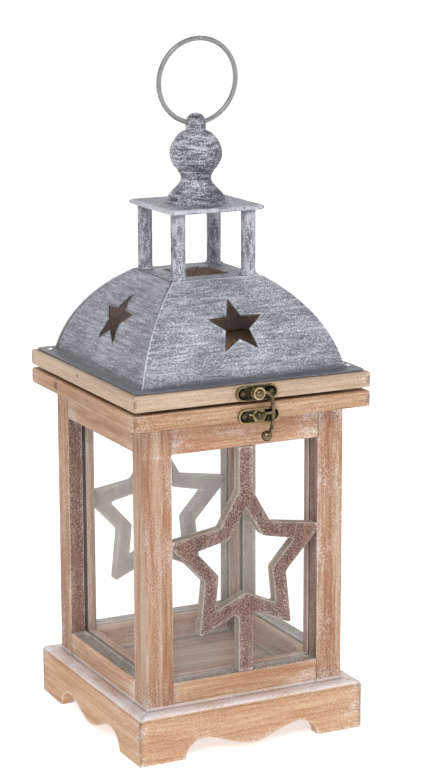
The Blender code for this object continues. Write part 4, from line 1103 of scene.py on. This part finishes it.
def curve_through(name, lines, closed):
    """A curve with one line through each list of points."""
    data = bpy.data.curves.new(name, "CURVE")
    data.dimensions = "3D"
    for line in lines:
        spline = data.splines.new("POLY")
        spline.points.add(len(line) - 1)
        for knot, point in zip(spline.points, line):
            knot.co = (*point, 1)
        spline.use_cyclic_u = closed
    return data


def bead(name, loops, radius, finish):
    """A round bead of metal along closed loops of points, on the lid."""
    values = {"Bead Radius": radius, "Finish": FINISH[finish]}
    grown(name, SWEPT, curve_through(name + "_loops", loops, True), values, "lid", 60)


def pierced_star_path(quarter):
    """The outline of a roof star, laid on the dome's outer face in short straight parts."""
    parts = 6
    corners = []
    for index in range(10):
        radius = ROOF_STAR_NOTCH_RADIUS if index % 2 else ROOF_STAR_TIP_RADIUS
        angle = pi / 2 - index * pi / 5
        corners.append(Vector((radius * cos(angle), radius * sin(angle))))
    start = asin(-DOME.y / DOME_RADIUS)
    turn = Matrix.Rotation(quarter * pi / 2, 3, "Z")
    path = []
    for corner, following in zip(corners, corners[1:] + corners[:1]):
        for part in range(parts):
            across, along = corner.lerp(following, part / parts)
            angle = start + (ROOF_STAR_HEIGHT + along) / DOME_RADIUS
            out = DOME.x + DOME_RADIUS * cos(angle)
            height = DOME.y + DOME_RADIUS * sin(angle) + FLANGE_TOP
            path.append(AXIS + turn @ Vector((across, -out, height)))
    return path


def ring_path(centre, radius, height):
    """A level circle of points."""
    return [
        Vector((centre.x + radius * cos(turn), centre.y + radius * sin(turn), height))
        for turn in (2 * pi * step / 40 for step in range(40))
    ]


# The rings that the solder beads follow, at the feet and at the columns' heads
FINIAL_FOOT_BEAD = 18.6 * MM
COLUMN_FOOT_BEAD = 5.5 * MM
COLUMN_HEAD_BEAD = 4.7 * MM
CANOPY_UNDERSIDE = CANOPY_LOW.z + 1.3 * MM

loops = [ring_path(AXIS, FINIAL_FOOT_BEAD, CANOPY_HIGH.z)]
bead("finial_solder_bead", loops, 1.0 * MM, "column")
loops = []
for depth in ("front", "back"):
    for hand in ("left", "right"):
        foot = piece_centre(f"column_{depth}_{hand}")
        loops.append(ring_path(foot, COLUMN_FOOT_BEAD, DECK_TOP + GAP))
        loops.append(ring_path(foot, COLUMN_HEAD_BEAD, CANOPY_UNDERSIDE))
bead("column_solder_beads", loops, 0.55 * MM, "column")
loops = [pierced_star_path(quarter) for quarter in range(4)]
bead("pierced_star_lips", loops, 0.28 * MM, "plate")


def turned_tree():
    """A profile line in the XZ plane, sampled in rows and turned about Z, less a cross hole."""
    sizes = {
        "Rows": "Int",
        "Facets": "Int",
        "Hole Radius": "Float",
        "Hole Height": "Float",
        "Middle": "Vector",
    }
    tree, given = size_tree("turned profile", sizes)
    grid = add(
        tree,
        "GeometryNodeMeshGrid",
        {
            "Size X": 1.0,
            "Size Y": 1.0,
            "Vertices X": given.outputs["Rows"],
            "Vertices Y": given.outputs["Facets"],
        },
    )
    spot = add(tree, "GeometryNodeInputPosition")
    parts = add(tree, "ShaderNodeSeparateXYZ", {0: spot}, out=None)
    share = add(tree, "ShaderNodeMath", {0: parts.outputs[0], 1: 0.5}, operation="ADD")
    angle = add(tree, "ShaderNodeMath", {0: parts.outputs[1], 1: 2 * pi}, operation="MULTIPLY")
    sampled = add(
        tree,
        "GeometryNodeSampleCurve",
        {"Curves": given.outputs["Geometry"], "Factor": share},
        out="Position",
        mode="FACTOR",
        use_all_curves=True,
    )
    reach = add(tree, "ShaderNodeSeparateXYZ", {0: sampled}, out=None)
    cosine = add(tree, "ShaderNodeMath", {0: angle}, operation="COSINE")
    sine = add(tree, "ShaderNodeMath", {0: angle}, operation="SINE")
    across = add(tree, "ShaderNodeMath", {0: reach.outputs[0], 1: cosine}, operation="MULTIPLY")
    deep = add(tree, "ShaderNodeMath", {0: reach.outputs[0], 1: sine}, operation="MULTIPLY")
    place = add(tree, "ShaderNodeCombineXYZ", {0: across, 1: deep, 2: reach.outputs[2]})
    turned = add(tree, "GeometryNodeSetPosition", {0: grid, "Position": place})
    closed = add(tree, "GeometryNodeMergeByDistance", {0: turned, "Distance": 0.001 * MM})
    drill = add(
        tree,
        "GeometryNodeMeshCylinder",
        {"Vertices": 40, "Radius": given.outputs["Hole Radius"], "Depth": 40 * MM},
    )
    raised = add(tree, "ShaderNodeCombineXYZ", {2: given.outputs["Hole Height"]})
    drill = add(
        tree, "GeometryNodeTransform", {0: drill, "Translation": raised, "Rotation": (0, pi / 2, 0)}
    )
    bored = add(tree, "GeometryNodeMeshBoolean", {0: closed, 1: drill}, operation="DIFFERENCE")
    stood = add(
        tree, "GeometryNodeTransform", {0: bored, "Translation": given.outputs["Middle"]}
    )
    return close_tree(tree, given, stood)


def eased(first, last, rule, steps):
    """Profile points from one (radius, height) to another; rule maps 0..1 to 0..1."""
    line = []
    for step in range(1, steps + 1):
        share = step / steps
        radius = first[0] + (last[0] - first[0]) * rule(share)
        line.append((radius, first[1] + (last[1] - first[1]) * share))
    return line


def rounded_fall(share):
    """From 0 to 1, slow at first and steep at the end: the top half of the bulb."""
    return 1 - (cos(pi / 2 * share) + sqrt(1 - share * share)) / 2


def finial_profile():
    """The finial's outline in millimetres, from its spigot's end to the top of its loop."""
    spigot, rivet, under_plate = 2.5, 3.5, -1.8
    foot_radius, foot, neck = 18.4, (18.0, 1.7), (9.4, 14.9)
    bead_radius, bead_height, bead_proud = 10.8, 19.3, 0.6
    bulb, shoulder = (16.4, 30.2), (7.6, 44.0)
    loop_radius, loop_height = 6.3, LOOP_HEIGHT / MM
    line = [(0, -3.2), (spigot, -3.2), (rivet, -2.1), (rivet, under_plate)]
    line += [(spigot, under_plate), (spigot, 0)]
    line += [(foot_radius - 0.3, 0), (foot_radius, 0.3), (foot_radius, 1.2), foot]
    line += eased(foot, neck, lambda share: (1 - cos(pi * share)) / 2, 16)
    line += eased(neck, (bead_radius, bead_height - bead_proud), lambda share: share * share, 6)
    for step in range(9):
        angle = -pi / 2 + pi * step / 8
        radius = bead_radius + bead_proud * cos(angle)
        line.append((radius, bead_height + bead_proud * sin(angle)))
    rise = (bead_radius, bead_height + bead_proud)
    line += eased(rise, bulb, lambda share: 1 - rounded_fall(1 - share), 14)
    line += eased(bulb, shoulder, rounded_fall, 18)
    line += [(6.6, 44.3), (loop_radius, 44.7)]
    for step in range(13):
        angle = pi / 2 * step / 12
        line.append((loop_radius * cos(angle), loop_height + loop_radius * sin(angle)))
    return line


profile = [(radius * MM, 0, height * MM) for radius, height in finial_profile()]
grown(
    "finial_turning",
    turned_tree(),
    curve_through("finial_profile", [profile], False),
    {
        "Rows": 260,
        "Facets": 97,
        "Hole Radius": LOOP_HOLE_RADIUS,
        "Hole Height": LOOP_HEIGHT,
        "Middle": AXIS + Vector((0, 0, FINIAL_FOOT)),
        "Finish": FINISH["turning"],
    },
    "lid",
    nodes=("finial",),
)


# Floor, light and camera


def studio_floor():
    """A wide sheet of pale paper under the lantern, turned up along its far edges, in metres."""
    half, upturn = 14.0, 2.6
    data = bpy.data.meshes.new("studio_floor")
    corners = [(-half, -half), (half, -half), (half, half), (-half, half)]
    points = [(*corner, level) for level in (0, upturn) for corner in corners]
    walls = [(first, first + 4, (first + 1) % 4 + 4, (first + 1) % 4) for first in range(4)]
    data.from_pydata(points, [], [(0, 1, 2, 3), *walls])
    data.materials.append(FINISH["paper"])
    floor = bpy.data.objects.new("studio_floor", data)
    bpy.context.scene.collection.objects.link(floor)


def soft_light(name, place, size, power):
    """A square soft light in white that faces the middle of the lantern."""
    data = bpy.data.lights.new(name, "AREA")
    data.shape = "SQUARE"
    data.size = size
    data.energy = power
    lamp = bpy.data.objects.new(name, data)
    lamp.location = place
    lamp.rotation_mode = "QUATERNION"
    aim = AXIS + Vector((0, 0, 0.2)) - Vector(place)
    lamp.rotation_quaternion = aim.to_track_quat("-Z", "Y")
    bpy.context.scene.collection.objects.link(lamp)


def pale_world(strength):
    """Even white light from all round."""
    world = bpy.data.worlds.new("pale_room")
    world.use_nodes = True
    back = world.node_tree.nodes["Background"]
    back.inputs["Color"].default_value = (1, 1, 1, 1)
    back.inputs["Strength"].default_value = strength
    bpy.context.scene.world = world


def photo_camera():
    """The camera of the photograph: left of the front, a little above, and looking down."""
    heading, tilt, roll = -26.458, 77.394, 0.167
    data = bpy.data.cameras.new("photo_camera")
    data.sensor_width = 36
    data.lens = 106.304
    data.clip_end = 20
    camera = bpy.data.objects.new("photo_camera", data)
    camera.location = AXIS + Vector((-620.02, -1277.09, 531.79)) * MM
    camera.rotation_euler = (radians(tilt), radians(roll), radians(heading))
    bpy.context.scene.collection.objects.link(camera)
    bpy.context.scene.camera = camera


studio_floor()
pale_world(0.46)
soft_light("key_light", (-0.95, -1.55, 1.7), 0.9, 29)
soft_light("fill_light", (1.6, -0.8, 0.9), 1.2, 8)
soft_light("back_light", (0.4, 1.5, 1.3), 1.2, 10)
photo_camera()
bpy.context.scene.view_settings.view_transform = "Standard"
